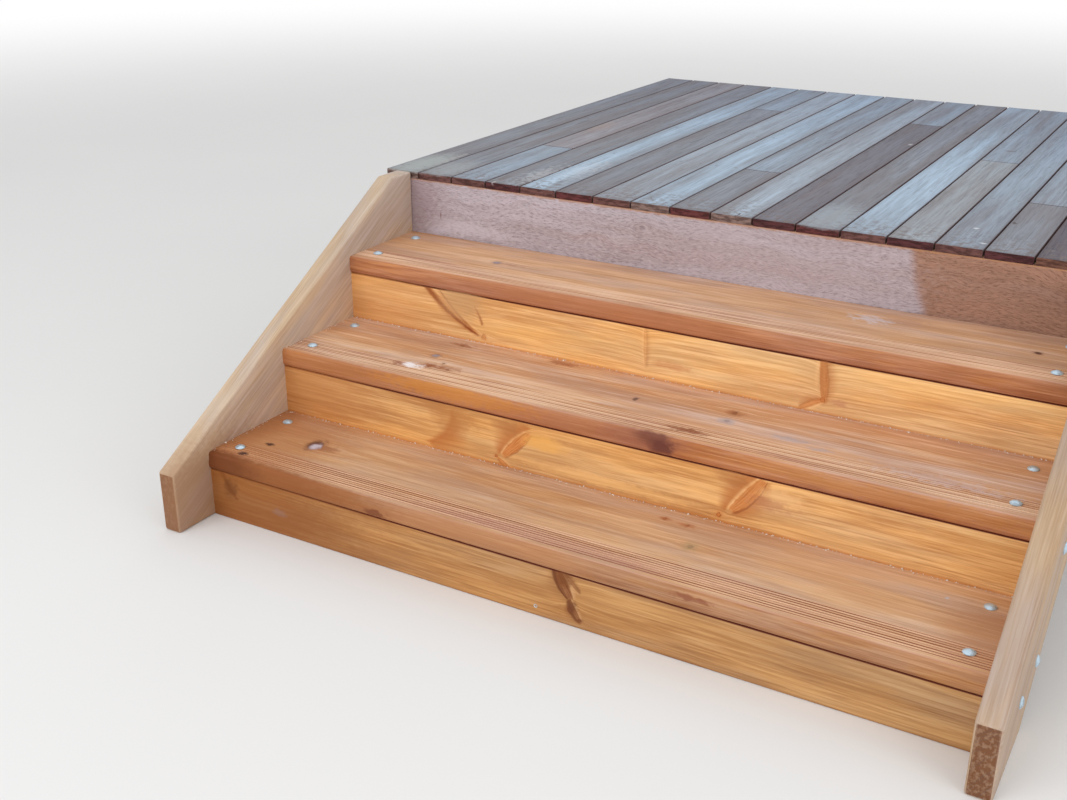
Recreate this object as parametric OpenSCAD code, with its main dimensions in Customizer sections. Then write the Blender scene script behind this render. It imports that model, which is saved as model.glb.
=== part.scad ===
// Wooden deck stairs: three bolted treads between two closed stringers,
// fixed to the fascia of a boarded deck edge that stands on its own piles.
// Working frame while modelling: X from the left stringer's inner face to the right,
// Y from the bottom tread's nose into the deck, Z up from the ground. Millimetres.

/* [Stair] */
// Clear width between the stringers
stair_w = 1800; // [1000:10:2400]
// Height from one tread to the next, and from the top tread to the deck
rise = 167; // [140:1:190]
// Distance from one riser face to the next
going = 286; // [250:1:320]

/* [Stringers] */
// Thickness of a stringer
stringer_t = 48; // [40:1:60]
// Depth of a stringer, square to its slope
stringer_d = 240; // [235:1:290]
// Height of the stringer's top edge above the line of the nosings
stringer_over = 50; // [30:1:60]
// How far the stringer's plumb front end stands before the bottom nose
stringer_reach = 114; // [80:1:150]
// Radius of the stringer's arrises
stringer_arris = 6; // [3:1:10]

/* [Treads] */
// Thickness of a tread
tread_t = 45; // [35:1:50]
// How far a tread's nose stands before its riser
nosing = 4; // [2:1:20]
// Radius of the nose's arrises
nose_r = 8; // [3:1:12]
// Number of grooves in the reeded band
groove_n = 8; // [4:1:10]
// Distance between grooves
groove_pitch = 8; // [6:0.5:9]
// Radius of a groove's round bottom
groove_r = 2.2; // [1.5:0.1:2.8]
// Depth of a groove
groove_depth = 1.6; // [0.8:0.1:2]
// First groove's distance behind the nose
groove_start = 21; // [14:1:30]

/* [Risers] */
// Thickness of a riser board
riser_t = 25; // [18:1:32]
// Height of a riser board
riser_h = 140; // [125:1:160]

/* [Boards] */
// Radius of the arrises of risers, fascia and frame timbers
arris = 3; // [1:0.5:6]
// Radius of the arrises of the deck boards
board_arris = 2; // [1:0.5:4]

/* [Bolts and brackets] */
// Diameter of the bolt holes
bolt_hole_d = 10.5; // [8.5:0.5:13]
// Tread bolts' distance from the stringer's face
bolt_inset = 50; // [35:1:60]
// Front tread bolt's distance behind the nose
bolt_front = 58; // [45:1:80]
// Rear tread bolt's distance behind the nose
bolt_rear = 230; // [180:1:238]
// Length of a bracket along the tread
bracket_l = 215; // [205:1:225]
// Gap between a bracket and the riser before it
bracket_gap = 7.5; // [2:0.5:12]
// Width of the bracket's level leg
bracket_w = 75; // [65:1:90]
// Height of the bracket's upright leg
bracket_h = 46; // [38:1:48]
// Thickness of the bracket's steel
bracket_t = 5; // [3:0.5:6]
// Front stringer bolt's distance behind the nose
side_bolt_front = 50; // [46:1:60]
// Stringer bolts' depth below the tread's underside
side_bolt_drop = 20; // [17:1:28]
// Distance between the two stringer bolts of a bracket
side_bolt_gap = 145; // [120:1:160]

/* [Deck] */
// Thickness of a deck board
board_t = 19; // [18:1:32]
// Width of a deck board
board_w = 103; // [90:1:140]
// Gap between deck boards
board_gap = 5; // [3:1:8]
// How far the deck runs past the left stringer's inner face
deck_overhang = 84.5; // [60:0.5:120]
// How far the board ends stand back from the fascia's face
board_setback = 4; // [2:1:10]
// Gap where two lengths of a board meet over a joist
butt_gap = 3; // [1:0.5:6]
// Height of the fascia board
fascia_h = 190; // [165:1:220]
// Thickness of the fascia board
fascia_t = 25; // [18:1:40]

/* [Deck frame] */
// Thickness of a joist
joist_t = 45; // [40:1:50]
// Height of a joist
joist_h = 140; // [120:5:190]
// Distance between joist centres
joist_pitch = 450; // [400:10:600]
// Thickness of a bearer
bearer_t = 90; // [70:5:100]
// Height of a bearer
bearer_h = 140; // [120:5:190]
// Distance from the deck's side to a bearer's middle
bearer_inset = 300; // [150:10:400]
// Side of a square pile
pile_side = 125; // [100:5:140]
// Distance from the deck's front or back to a pile's middle
pile_inset = 330; // [200:10:450]

/* [Hidden] */
$fn = 48;

// Room for a cut to run past the face that it opens
cut = 5;

// Stair
tread_n = 3;
slope = rise / going;
pitch_angle = atan(slope);
tread_d = going + nosing;
deck_z = (tread_n + 1) * rise;
fascia_y = tread_n * going + nosing;

// Stringer
rake_h = stringer_d / cos(pitch_angle);
rake_z0 = rise + stringer_over;

// Deck boards: as many whole ones as it takes to pass the right stringer's outer face
board_pitch = board_w + board_gap;
deck_x0 = -deck_overhang;
board_n = ceil((stair_w + stringer_t - deck_x0 + board_gap) / board_pitch);
deck_w = board_n * board_pitch - board_gap;
deck_x1 = deck_x0 + deck_w;
board_z = deck_z - board_t;

// Boards in two lengths: the board's number and the joist that its ends meet on
board_joints = [[3, 1], [6, 3], [9, 1], [11, 3], [14, 2], [16, 1]];

// Deck frame
joist_n = 3;
frame_y = fascia_y + fascia_t;
deck_y1 = frame_y + (joist_n + 1) * joist_pitch + joist_t;
joist_z = board_z - joist_h;
bearer_z = joist_z - bearer_h;
bearer_x = [deck_x0 + bearer_inset, deck_x1 - bearer_inset];
pile_y = [frame_y + pile_inset, deck_y1 - pile_inset];

// The part's origin lies under the middle of its box
origin_x = (deck_x0 + deck_x1) / 2;
origin_y = (deck_y1 - stringer_reach) / 2;

// Colours
stringer_colour = [0.80, 0.62, 0.43];
tread_colour = [0.72, 0.42, 0.22];
riser_colour = [0.87, 0.58, 0.27];
steel_colour = [0.66, 0.70, 0.74];
fascia_colour = [0.56, 0.42, 0.38];
frame_colour = [0.68, 0.58, 0.40];
board_colour = [0.50, 0.47, 0.46];

// Height of the stringer's top edge over a point of its length
function rake_top(y) = rake_z0 + slope * y;

// Height of the stringer's lower edge over a point of its length
function rake_foot(y) = rake_top(y) - rake_h;

// Place of a tread's nose and of its top
function nose_y(n) = (n - 1) * going;
function tread_top(n) = n * rise;

module placed() {
    translate([-origin_x, -origin_y, 0]) children();
}

// Turns a side view, with Y across and Z up, into a solid from x to x + w
module along_x(x, w) {
    translate([x, 0, 0]) rotate([90, 0, 90]) linear_extrude(height = w) children();
}

// Outline of a stringer: plumb nose, raking edges, level top and level foot
module stringer_outline() {
    top_y = (deck_z - rake_z0) / slope;
    foot_y = (rake_h - rake_z0) / slope;
    polygon([
        [-stringer_reach, 0],
        [-stringer_reach, rake_top(-stringer_reach)],
        [top_y, deck_z],
        [fascia_y, deck_z],
        [fascia_y, rake_foot(fascia_y)],
        [foot_y, 0],
    ]);
}

// Section w wide and h high with its four corners rounded
module eased_section(w, h, r) {
    translate([r, 0]) square([w - 2 * r, h]);
    translate([0, r]) square([w, h - 2 * r]);
    for (x = [r, w - r], y = [r, h - r]) translate([x, y]) circle(r = r);
}

// Timber with eased arrises that runs along X, Y or Z
module bar_x(size, r) {
    along_x(0, size.x) eased_section(size.y, size.z, r);
}

module bar_y(size, r) {
    rotate([90, 0, 0]) mirror([0, 0, 1])
        linear_extrude(height = size.y) eased_section(size.x, size.z, r);
}

module bar_z(size, r) {
    linear_extrude(height = size.z) eased_section(size.x, size.y, r);
}

// The board that a stringer is sawn from, along the rake
module raking_board() {
    y0 = -2 * stringer_reach;
    run = (fascia_y - y0) / cos(pitch_angle);
    translate([0, y0, rake_top(y0)]) rotate([pitch_angle, 0, 0])
        translate([0, 0, -stringer_d]) bar_y([stringer_t, run, stringer_d], stringer_arris);
}

// Eases the arrises of the plumb nose
module plumb_nose() {
    translate([0, -stringer_reach, 0])
        bar_z([stringer_t, 2 * (stringer_reach + fascia_y), deck_z], stringer_arris);
}

// Side bolt places on a stringer for tread n
function side_bolt_y(n, k) = nose_y(n) + side_bolt_front + k * side_bolt_gap;
function side_bolt_z(n) = tread_top(n) - tread_t - side_bolt_drop;

module stringer(x) {
    color(stringer_colour)
        difference() {
            intersection() {
                along_x(x, stringer_t) stringer_outline();
                translate([x, 0, 0]) raking_board();
                translate([x, 0, 0]) plumb_nose();
            }
            for (n = [1:tread_n], k = [0, 1])
                translate([x - cut, side_bolt_y(n, k), side_bolt_z(n)])
                    rotate([0, 90, 0]) cylinder(d = bolt_hole_d, h = stringer_t + 2 * cut);
        }
}

// Section of a tread: rounded nose, eased back and a reeded band on top
module tread_section() {
    difference() {
        union() {
            translate([nose_r, 0]) square([tread_d - nose_r - arris, tread_t]);
            translate([0, nose_r]) square([nose_r, tread_t - 2 * nose_r]);
            translate([tread_d - arris, arris]) square([arris, tread_t - 2 * arris]);
            for (z = [nose_r, tread_t - nose_r]) translate([nose_r, z]) circle(r = nose_r);
            for (z = [arris, tread_t - arris]) translate([tread_d - arris, z]) circle(r = arris);
        }
        for (i = [0:groove_n - 1])
            translate([groove_start + i * groove_pitch, tread_t + groove_r - groove_depth])
                circle(r = groove_r);
    }
}

module tread(n) {
    color(tread_colour)
        difference() {
            translate([0, nose_y(n), tread_top(n) - tread_t])
                along_x(0, stair_w) tread_section();
            for (x = [bolt_inset, stair_w - bolt_inset], y = [bolt_front, bolt_rear])
                translate([x, nose_y(n) + y, tread_top(n) - tread_t - cut])
                    cylinder(d = bolt_hole_d, h = tread_t + 2 * cut);
        }
}

// Bottom riser fills the height under its tread, the others reach below the tread behind them
module riser(n) {
    top = tread_top(n) - tread_t;
    h = n == 1 ? top : riser_h;
    color(riser_colour)
        translate([0, nose_y(n) + nosing, top - h]) bar_x([stair_w, riser_t, h], arris);
}

// Steel angle under a tread's left end, its upright leg against the stringer.
// The upright leg's rear corner is clipped to stay behind the stringer's lower edge.
module bracket_angle() {
    y0 = nosing + riser_t + bracket_gap;
    clip = bracket_h / 2;
    difference() {
        union() {
            translate([0, y0, -bracket_t]) cube([bracket_w, bracket_l, bracket_t]);
            along_x(0, bracket_t)
                polygon([
                    [y0, 0],
                    [y0 + bracket_l, 0],
                    [y0 + bracket_l, clip - bracket_h],
                    [y0 + bracket_l - clip, -bracket_h],
                    [y0, -bracket_h],
                ]);
        }
        for (y = [bolt_front, bolt_rear])
            translate([bolt_inset, y, -bracket_t - cut])
                cylinder(d = bolt_hole_d, h = bracket_t + 2 * cut);
        for (k = [0, 1])
            translate([-cut, side_bolt_y(1, k), -side_bolt_drop])
                rotate([0, 90, 0]) cylinder(d = bolt_hole_d, h = bracket_t + 2 * cut);
    }
}

module bracket_left(n) {
    color(steel_colour)
        translate([0, nose_y(n), tread_top(n) - tread_t]) bracket_angle();
}

module bracket_right(n) {
    color(steel_colour)
        translate([stair_w, nose_y(n), tread_top(n) - tread_t]) mirror([1, 0, 0]) bracket_angle();
}

module fascia() {
    color(fascia_colour)
        translate([deck_x0, fascia_y, board_z - fascia_h]) bar_x([deck_w, fascia_t, fascia_h], arris);
}

// Joist k of the deck frame: 0 is behind the fascia, the last one closes the back
function joist_y(k) = frame_y + k * joist_pitch;

module joist(k) {
    color(frame_colour)
        translate([deck_x0 + joist_t, joist_y(k), joist_z])
            bar_x([deck_w - 2 * joist_t, joist_t, joist_h], arris);
}

module side_joist(x) {
    color(frame_colour)
        translate([x, frame_y, joist_z]) bar_y([joist_t, deck_y1 - frame_y, joist_h], arris);
}

module bearer(x) {
    color(frame_colour)
        translate([x - bearer_t / 2, frame_y, bearer_z])
            bar_y([bearer_t, deck_y1 - frame_y, bearer_h], arris);
}

module pile(x, y) {
    color(frame_colour)
        translate([x - pile_side / 2, y - pile_side / 2, 0])
            bar_z([pile_side, pile_side, bearer_z], arris);
}

// Deck board i, in two lengths where board_joints says so
module deck_board(i) {
    front = fascia_y + board_setback;
    color(board_colour)
        translate([deck_x0 + (i - 1) * board_pitch, 0, board_z])
            difference() {
                translate([0, front, 0]) bar_y([board_w, deck_y1 - front, board_t], board_arris);
                for (joint = board_joints)
                    if (joint[0] == i)
                        translate([-cut, joist_y(joint[1]) + (joist_t - butt_gap) / 2, -cut])
                            cube([board_w + 2 * cut, butt_gap, board_t + 2 * cut]);
            }
}

placed() stringer(-stringer_t);  // stringer_left
placed() stringer(stair_w);  // stringer_right
for (n = [1:tread_n]) {
    placed() tread(n);
    placed() riser(n);
    placed() bracket_left(n);
    placed() bracket_right(n);
}
placed() fascia();
placed() joist(0);  // front_joist
for (k = [1:joist_n])
    placed() joist(k);
placed() joist(joist_n + 1);  // rear_joist
placed() side_joist(deck_x0);  // side_joist_left
placed() side_joist(deck_x1 - joist_t);  // side_joist_right
placed() bearer(bearer_x[0]);  // bearer_left
placed() bearer(bearer_x[1]);  // bearer_right
placed() pile(bearer_x[0], pile_y[0]);  // pile_front_left
placed() pile(bearer_x[1], pile_y[0]);  // pile_front_right
placed() pile(bearer_x[0], pile_y[1]);  // pile_rear_left
placed() pile(bearer_x[1], pile_y[1]);  // pile_rear_right
for (i = [1:board_n])
    placed() deck_board(i);
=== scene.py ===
"""Wooden deck stairs: reeded treads, golden risers, two closed stringers and a boarded deck edge."""

import logging
import math
from dataclasses import dataclass, field, fields
from enum import Enum
from typing import Any, Iterable, Sequence, Union

import bmesh
import bpy
import numpy as np
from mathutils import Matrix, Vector, noise


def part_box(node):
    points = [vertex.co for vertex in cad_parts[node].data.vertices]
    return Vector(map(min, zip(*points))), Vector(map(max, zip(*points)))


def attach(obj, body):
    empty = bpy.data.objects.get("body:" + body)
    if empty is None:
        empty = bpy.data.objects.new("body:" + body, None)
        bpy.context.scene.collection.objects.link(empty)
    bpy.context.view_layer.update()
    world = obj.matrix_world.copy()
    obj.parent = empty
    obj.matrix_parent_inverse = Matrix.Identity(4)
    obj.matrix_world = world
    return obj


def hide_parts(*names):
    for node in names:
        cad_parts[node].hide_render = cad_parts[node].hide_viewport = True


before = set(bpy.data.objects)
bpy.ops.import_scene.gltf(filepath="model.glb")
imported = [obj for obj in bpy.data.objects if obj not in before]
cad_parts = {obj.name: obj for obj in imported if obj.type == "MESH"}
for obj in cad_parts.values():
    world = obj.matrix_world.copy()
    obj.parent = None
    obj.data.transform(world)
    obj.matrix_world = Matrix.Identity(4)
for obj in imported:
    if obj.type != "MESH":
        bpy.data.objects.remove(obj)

LOG = logging.getLogger("deck_stairs")

BODY = "root"
UP = (0.0, 0.0, 1.0)
STAIR_WIDTH = 1800.0  # between the stringers; this and the next four are in millimetres
RISE = 167.0
GOING = 286.0
TREAD = 45.0
DECK = 668.0
EULER = 2.718
HEXAGON = 0.577  # the corner radius of a hexagon one wide
TREADS = (1, 2, 3)

Colour = tuple[float, float, float]
Point = tuple[float, float, float]
Socket = bpy.types.NodeSocket
Material = bpy.types.Material
Piece = bpy.types.Object
Feed = Union[float, int, bool, Sequence[float], Socket]

KNOT_ROW: dict[str, Feed] = {"Knot": 0.0, "Rim": 0.0, "Halo": 0.0, "Whorl": 9.0, "Flow": (0, 0, 0)}
BRANCH_ROW: dict[str, Feed] = {
    "Core": 0.0, "Bark": 0.0, "Shade": 0.0, "Glow": 0.0, "Grain": 0.5, "Flow": (0, 0, 0)}


class Graph:
    """Adds nodes to a node tree, and links or sets their inputs."""

    def __init__(self, tree: bpy.types.NodeTree) -> None:
        """Holds the tree that the nodes go into."""
        self.tree = tree

    def add(self, kind: str, inputs: dict[Any, Feed] | None = None, **settings: Any) -> bpy.types.Node:
        """Adds one node.

        Args:
            kind: the node's type name.
            inputs: a value or a socket for each input, by name or by index.
            settings: the node's own properties.

        Returns:
            The new node.
        """
        node = self.tree.nodes.new(kind)
        for name, value in settings.items():
            setattr(node, name, value)
        for key, value in (inputs or {}).items():
            self.feed(node.inputs[key], value)
        return node

    def feed(self, socket: Socket, value: Feed) -> None:
        """Links a socket to the input, or sets the input's value.

        Args:
            socket: the input.
            value: another node's output, or a plain value.
        """
        if isinstance(value, Socket):
            self.tree.links.new(value, socket)
        elif socket.type == "RGBA" and len(value) == 3:
            socket.default_value = (*value, 1.0)
        else:
            socket.default_value = value

    def math(self, operation: str, *values: Feed, clamp: bool = False) -> Socket:
        """Returns the result of a Math node on up to three values."""
        node = self.add("ShaderNodeMath", dict(enumerate(values)), operation=operation, use_clamp=clamp)
        return node.outputs[0]

    def times(self, first: Feed, second: Feed) -> Socket:
        """Returns the product of two numbers."""
        return self.math("MULTIPLY", first, second)

    def over(self, first: Feed, second: Feed) -> Socket:
        """Returns the first number divided by the second."""
        return self.math("DIVIDE", first, second)

    def plus(self, first: Feed, second: Feed) -> Socket:
        """Returns the sum of two numbers."""
        return self.math("ADD", first, second)

    def minus(self, first: Feed, second: Feed) -> Socket:
        """Returns the first number less the second."""
        return self.math("SUBTRACT", first, second)

    def vector(self, operation: str, *values: Feed, scale: Feed | None = None) -> Socket:
        """Does vector arithmetic.

        Args:
            operation: the Vector Math node's operation.
            values: its vectors, in order.
            scale: the factor of a SCALE operation.

        Returns:
            The number of a DOT_PRODUCT or LENGTH, or else the vector.
        """
        node = self.add("ShaderNodeVectorMath", dict(enumerate(values)), operation=operation)
        if scale is not None:
            self.feed(node.inputs["Scale"], scale)
        number = operation in ("DOT_PRODUCT", "LENGTH", "DISTANCE")
        return node.outputs["Value" if number else "Vector"]

    def split(self, vector: Feed) -> tuple[Socket, ...]:
        """Returns a vector's three numbers."""
        return tuple(self.add("ShaderNodeSeparateXYZ", {0: vector}).outputs)

    def join(self, x: Feed, y: Feed, z: Feed) -> Socket:
        """Returns a vector made of three numbers."""
        return self.add("ShaderNodeCombineXYZ", {0: x, 1: y, 2: z}).outputs[0]

    def step(self, value: Feed, low: Feed, high: Feed) -> Socket:
        """Returns a smooth 0 to 1 as the value goes from low to high, which may be the smaller."""
        inputs = {"Value": value, "From Min": low, "From Max": high}
        return self.add("ShaderNodeMapRange", inputs, interpolation_type="SMOOTHSTEP").outputs[0]

    def lerp(self, factor: Feed, first: Feed, second: Feed) -> Socket:
        """Returns a number between two numbers."""
        return self.add("ShaderNodeMix", {0: factor, 2: first, 3: second}).outputs[0]

    def tint(self, factor: Feed, first: Feed, second: Feed, mode: str = "MIX") -> Socket:
        """Mixes two colours.

        Args:
            factor: how much of the second colour.
            first: the colour below.
            second: the colour above.
            mode: the blending.

        Returns:
            The mixed colour.
        """
        node = self.add("ShaderNodeMix", {0: factor, 6: first, 7: second}, data_type="RGBA", blend_type=mode)
        return node.outputs[2]

    def noise(self, vector: Feed, scale: Feed, detail: float = 2.0, rough: float = 0.5) -> bpy.types.Node:
        """Returns a Noise Texture node, whose average is about 0.5."""
        inputs = {"Vector": vector, "Scale": scale, "Detail": detail, "Roughness": rough}
        return self.add("ShaderNodeTexNoise", inputs)

    def grain(self, vector: Feed, stretch: Feed, detail: float, rough: float) -> Socket:
        """Returns a noise's number after its coordinates are stretched each way."""
        return self.noise(self.vector("MULTIPLY", vector, stretch), 1.0, detail, rough).outputs[0]

    def dye(self, colour: Feed, tone: Feed) -> Socket:
        """Returns a colour multiplied by a tone."""
        return self.tint(1.0, colour, tone, "MULTIPLY")

    def stain(self, colour: Feed, tone: Feed, mask: Feed, share: Feed) -> Socket:
        """Returns a colour with a tone laid over it by a share of a mask."""
        return self.tint(self.times(mask, share), colour, tone)

    def facing(self, normal: str = "True Normal") -> tuple[Socket, ...]:
        """Returns the three numbers of the way that the surface faces."""
        return self.split(self.add("ShaderNodeNewGeometry").outputs[normal])

    def held(self, name: str) -> Socket:
        """Returns the number that a mesh holds under a name."""
        return self.add("ShaderNodeAttribute", attribute_name=name).outputs["Fac"]


class ShaderGroup:
    """A shader effect that several finishes share, built once and placed with its own values."""

    def __init__(self, name: str, inputs: dict[str, Feed], outputs: dict[str, Feed]) -> None:
        """Makes the group's tree with named sockets.

        Args:
            name: the group's name.
            inputs: each input's name and its default, a number or a vector.
            outputs: each output's name with a number or a vector, as it gives.
        """
        self.tree = bpy.data.node_groups.new(name, "ShaderNodeTree")
        for way, items in (("INPUT", inputs), ("OUTPUT", outputs)):
            for label, default in items.items():
                kind = "NodeSocketFloat" if isinstance(default, (int, float)) else "NodeSocketVector"
                socket = self.tree.interface.new_socket(label, in_out=way, socket_type=kind)
                if way == "INPUT":
                    socket.default_value = default
        self.graph = Graph(self.tree)
        self.given = self.graph.add("NodeGroupInput").outputs
        self.result = self.graph.add("NodeGroupOutput").inputs

    def close(self, **values: Socket) -> None:
        """Links the results to the group's outputs, named with underscores for spaces."""
        for label, value in values.items():
            self.graph.feed(self.result[label.replace("_", " ")], value)

    def place(self, graph: Graph, **values: Feed) -> bpy.types.NodeOutputs:
        """Puts the group into a material.

        Args:
            graph: the material's graph.
            values: the inputs, named with underscores for spaces.

        Returns:
            The placed group's outputs.
        """
        node = graph.add("ShaderNodeGroup", node_tree=self.tree)
        for label, value in values.items():
            graph.feed(node.inputs[label.replace("_", " ")], value)
        return node.outputs


def sockets(item: Any) -> dict[str, Feed]:
    """Returns a knot's or a branch's fields under the names of its group's inputs."""
    return {entry.name.capitalize(): getattr(item, entry.name) for entry in fields(item)}


def along_branch(graph: Graph, given: bpy.types.NodeOutputs) -> tuple[Feed, Feed, Feed]:
    """Measures a place against the line from a branch's start to its end.

    Args:
        graph: the group's graph.
        given: the group's inputs.

    Returns:
        The branch's line, the way from its start to the place, and the share of the line passed there.
    """
    axis = graph.vector("SUBTRACT", given["End"], given["Start"])
    along = graph.vector("SUBTRACT", given["Vector"], given["Start"])
    length = graph.vector("DOT_PRODUCT", axis, axis)
    return axis, along, graph.over(graph.vector("DOT_PRODUCT", along, axis), length)


def growth_rings() -> ShaderGroup:
    """Builds the group of growth rings round a pith that runs along X.

    Returns:
        A group whose Late is 1 in the dark latewood, with Streak, a finer Fibre and a slow Drift.
    """
    group = ShaderGroup(
        "growth_rings",
        {"Vector": (0, 0, 0), "Pith": (0, 0.1, 0), "Ring": 0.006, "Waver": 0.02, "Seed": 0.0,
         "Fine": (7, 300, 300)},
        dict.fromkeys(("Late", "Streak", "Fibre", "Drift"), 0.0),
    )
    graph, given = group.graph, group.given
    place = graph.vector("ADD", given["Vector"], graph.join(given["Seed"], 0.0, 0.0))
    slow = graph.noise(graph.vector("MULTIPLY", place, (1.3, 5.0, 5.0)), 1.0, 2.0, 0.45)
    sway = graph.vector("SUBTRACT", slow.outputs["Color"], (0.5, 0.5, 0.5))
    sway = graph.vector("SCALE", sway, scale=given["Waver"])
    close = graph.grain(place, (9.0, 55.0, 55.0), 2.0, 0.5)
    centred = graph.vector("SUBTRACT", given["Vector"], given["Pith"])
    centred = graph.vector("ADD", centred, sway)
    centred = graph.vector("MULTIPLY", centred, (0.0, 1.0, 1.0))
    radius = graph.vector("LENGTH", centred)
    phase = graph.over(radius, given["Ring"])
    phase = graph.plus(phase, graph.times(close, 1.1))
    uneven = graph.noise(graph.join(graph.times(phase, 0.37), given["Seed"], 0.0), 1.0, 1.0)
    phase = graph.plus(phase, graph.times(uneven.outputs[0], 1.6))
    saw = graph.math("FRACT", phase)
    late = graph.times(graph.step(saw, 0.2, 0.82), graph.step(saw, 1.0, 0.86))
    strength = graph.noise(graph.join(graph.math("FLOOR", phase), given["Seed"], 3.7), 0.73, 1.0)
    late = graph.times(late, graph.step(strength.outputs[0], 0.3, 0.62))
    group.close(
        Late=late,
        Streak=graph.grain(place, (5.0, 125.0, 125.0), 3.0, 0.6),
        Fibre=graph.grain(place, given["Fine"], 3.0, 0.65),
        Drift=graph.grain(place, (1.6, 17.0, 17.0), 3.0, 0.55),
    )
    return group


def branch_knot() -> ShaderGroup:
    """Builds the group of one knot: the foot of a branch that leans into the board from Start to End.

    Returns:
        A group that adds to the knots before it: Knot is 1 inside, Rim 1 at the bark, Halo 1 near,
        Whorl counts the branch's own rings, and Flow is the sideways bend of the grain round the knot.
    """
    group = ShaderGroup(
        "branch_knot",
        {"Vector": (0, 0, 0), "Start": (0, 0, 0), "End": (0, 0, 1), "Radius": 0.01, "Strength": 1.0,
         "Torn": 0.5, **KNOT_ROW},
        KNOT_ROW,
    )
    graph, given = group.graph, group.given
    axis, along, share = along_branch(graph, given)
    share = graph.math("MAXIMUM", graph.math("MINIMUM", share, 1.0), 0.0)
    away = graph.vector("SUBTRACT", along, graph.vector("SCALE", axis, scale=share))
    ratio = graph.over(graph.vector("LENGTH", away), given["Radius"])
    ratio = graph.plus(ratio, graph.times(graph.minus(given["Torn"], 0.5), 0.9))
    knot = graph.step(ratio, 1.15, 0.7)
    rim = graph.step(graph.math("ABSOLUTE", graph.minus(ratio, 1.0)), 0.36, 0.02)
    rim = graph.times(rim, graph.step(given["Torn"], 0.36, 0.54))
    halo = graph.step(ratio, 3.4, 0.9)
    flat = graph.vector("MULTIPLY", away, (0.4, 1.0, 1.0))
    wide = graph.over(graph.vector("LENGTH", flat), given["Radius"])
    pull = graph.math("POWER", EULER, graph.times(graph.times(wide, wide), -0.22))
    bend = graph.vector("SCALE", away, scale=graph.times(pull, -0.8))
    masks = {"Knot": knot, "Rim": rim, "Halo": halo}
    group.close(
        Whorl=graph.math("MINIMUM", given["Whorl"], ratio),
        Flow=graph.vector("ADD", given["Flow"], bend),
        **{label: graph.math("MAXIMUM", given[label], graph.times(mask, given["Strength"]))
           for label, mask in masks.items()},
    )
    return group


def sawn_branch() -> ShaderGroup:
    """Builds the group of a branch that the saw has opened along its length, on a plumb face.

    Returns:
        A group that adds to the branches before it: Core is 1 in the branch, Bark 1 on its dark edge,
        Shade 1 in the resin outside the bark, Glow 1 in the pale wood on the other side, Grain the
        branch's own fine lines, and Flow the sweep of the board's grain along the branch.
    """
    group = ShaderGroup(
        "sawn_branch",
        {"Vector": (0, 0, 0), "Start": (0, 0, 0), "End": (0, 0, 1), "Width": 0.01, "Bow": 0.0,
         "Line": 0.003, "Heart": 1.0, "Edge": 1.0, "Resin": 1.0, "Sweep": 0.01, "Torn": 0.5, **BRANCH_ROW},
        BRANCH_ROW,
    )
    graph, given = group.graph, group.given
    axis, along, share = along_branch(graph, given)
    right = graph.vector("NORMALIZE", graph.vector("CROSS_PRODUCT", (0.0, 1.0, 0.0), axis))
    side = graph.vector("DOT_PRODUCT", along, right)
    belly = graph.math("MULTIPLY", graph.times(share, graph.minus(1.0, share)), 4.0, clamp=True)
    side = graph.minus(side, graph.times(given["Bow"], belly))
    half = graph.times(given["Width"], graph.plus(graph.times(belly, 0.55), 0.45))
    loose = graph.minus(given["Torn"], 0.5)
    ratio = graph.plus(graph.over(side, half), graph.times(loose, 0.3))
    worn = graph.plus(share, graph.times(loose, 0.3))
    ends = graph.times(graph.step(worn, -0.05, 0.08), graph.step(worn, 1.05, 0.9))
    core = graph.step(graph.math("ABSOLUTE", ratio), 1.2, 0.75)
    lean = graph.math("ABSOLUTE", graph.times(graph.minus(ratio, 1.0), half))
    taper = graph.minus(graph.math("MULTIPLY_ADD", loose, 1.6, 1.5), share)
    thick = graph.math("MAXIMUM", graph.times(given["Line"], taper), 0.0004)
    bark = graph.step(lean, thick, graph.times(thick, 0.15))
    shade = graph.times(graph.step(ratio, 0.6, 1.2), graph.step(ratio, 3.8, 1.0))
    glow = graph.times(graph.step(ratio, -0.7, -1.1), graph.step(ratio, -2.4, -1.2))
    fine = graph.join(graph.times(share, 2.0), graph.times(side, 380.0), 0.0)
    lines = graph.noise(graph.vector("ADD", fine, given["Start"]), 1.0, 3.0, 0.6).outputs[0]
    inside = graph.times(core, ends)
    near = graph.math("POWER", EULER, graph.over(graph.math("ABSOLUTE", side), -0.02))
    near = graph.times(near, graph.step(graph.math("ABSOLUTE", graph.minus(share, 0.5)), 0.9, 0.3))
    sweep = graph.vector("SCALE", graph.vector("NORMALIZE", axis), scale=graph.times(near, given["Sweep"]))
    masks = {
        "Core": (inside, "Heart"), "Bark": (graph.times(bark, ends), "Edge"),
        "Shade": (graph.times(shade, ends), "Resin"), "Glow": (graph.times(glow, ends), "Heart"),
    }
    group.close(
        Grain=graph.lerp(inside, given["Grain"], lines),
        Flow=graph.vector("ADD", given["Flow"], sweep),
        **{label: graph.math("MAXIMUM", given[label], graph.times(mask, given[strength]))
           for label, (mask, strength) in masks.items()},
    )
    return group


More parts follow.
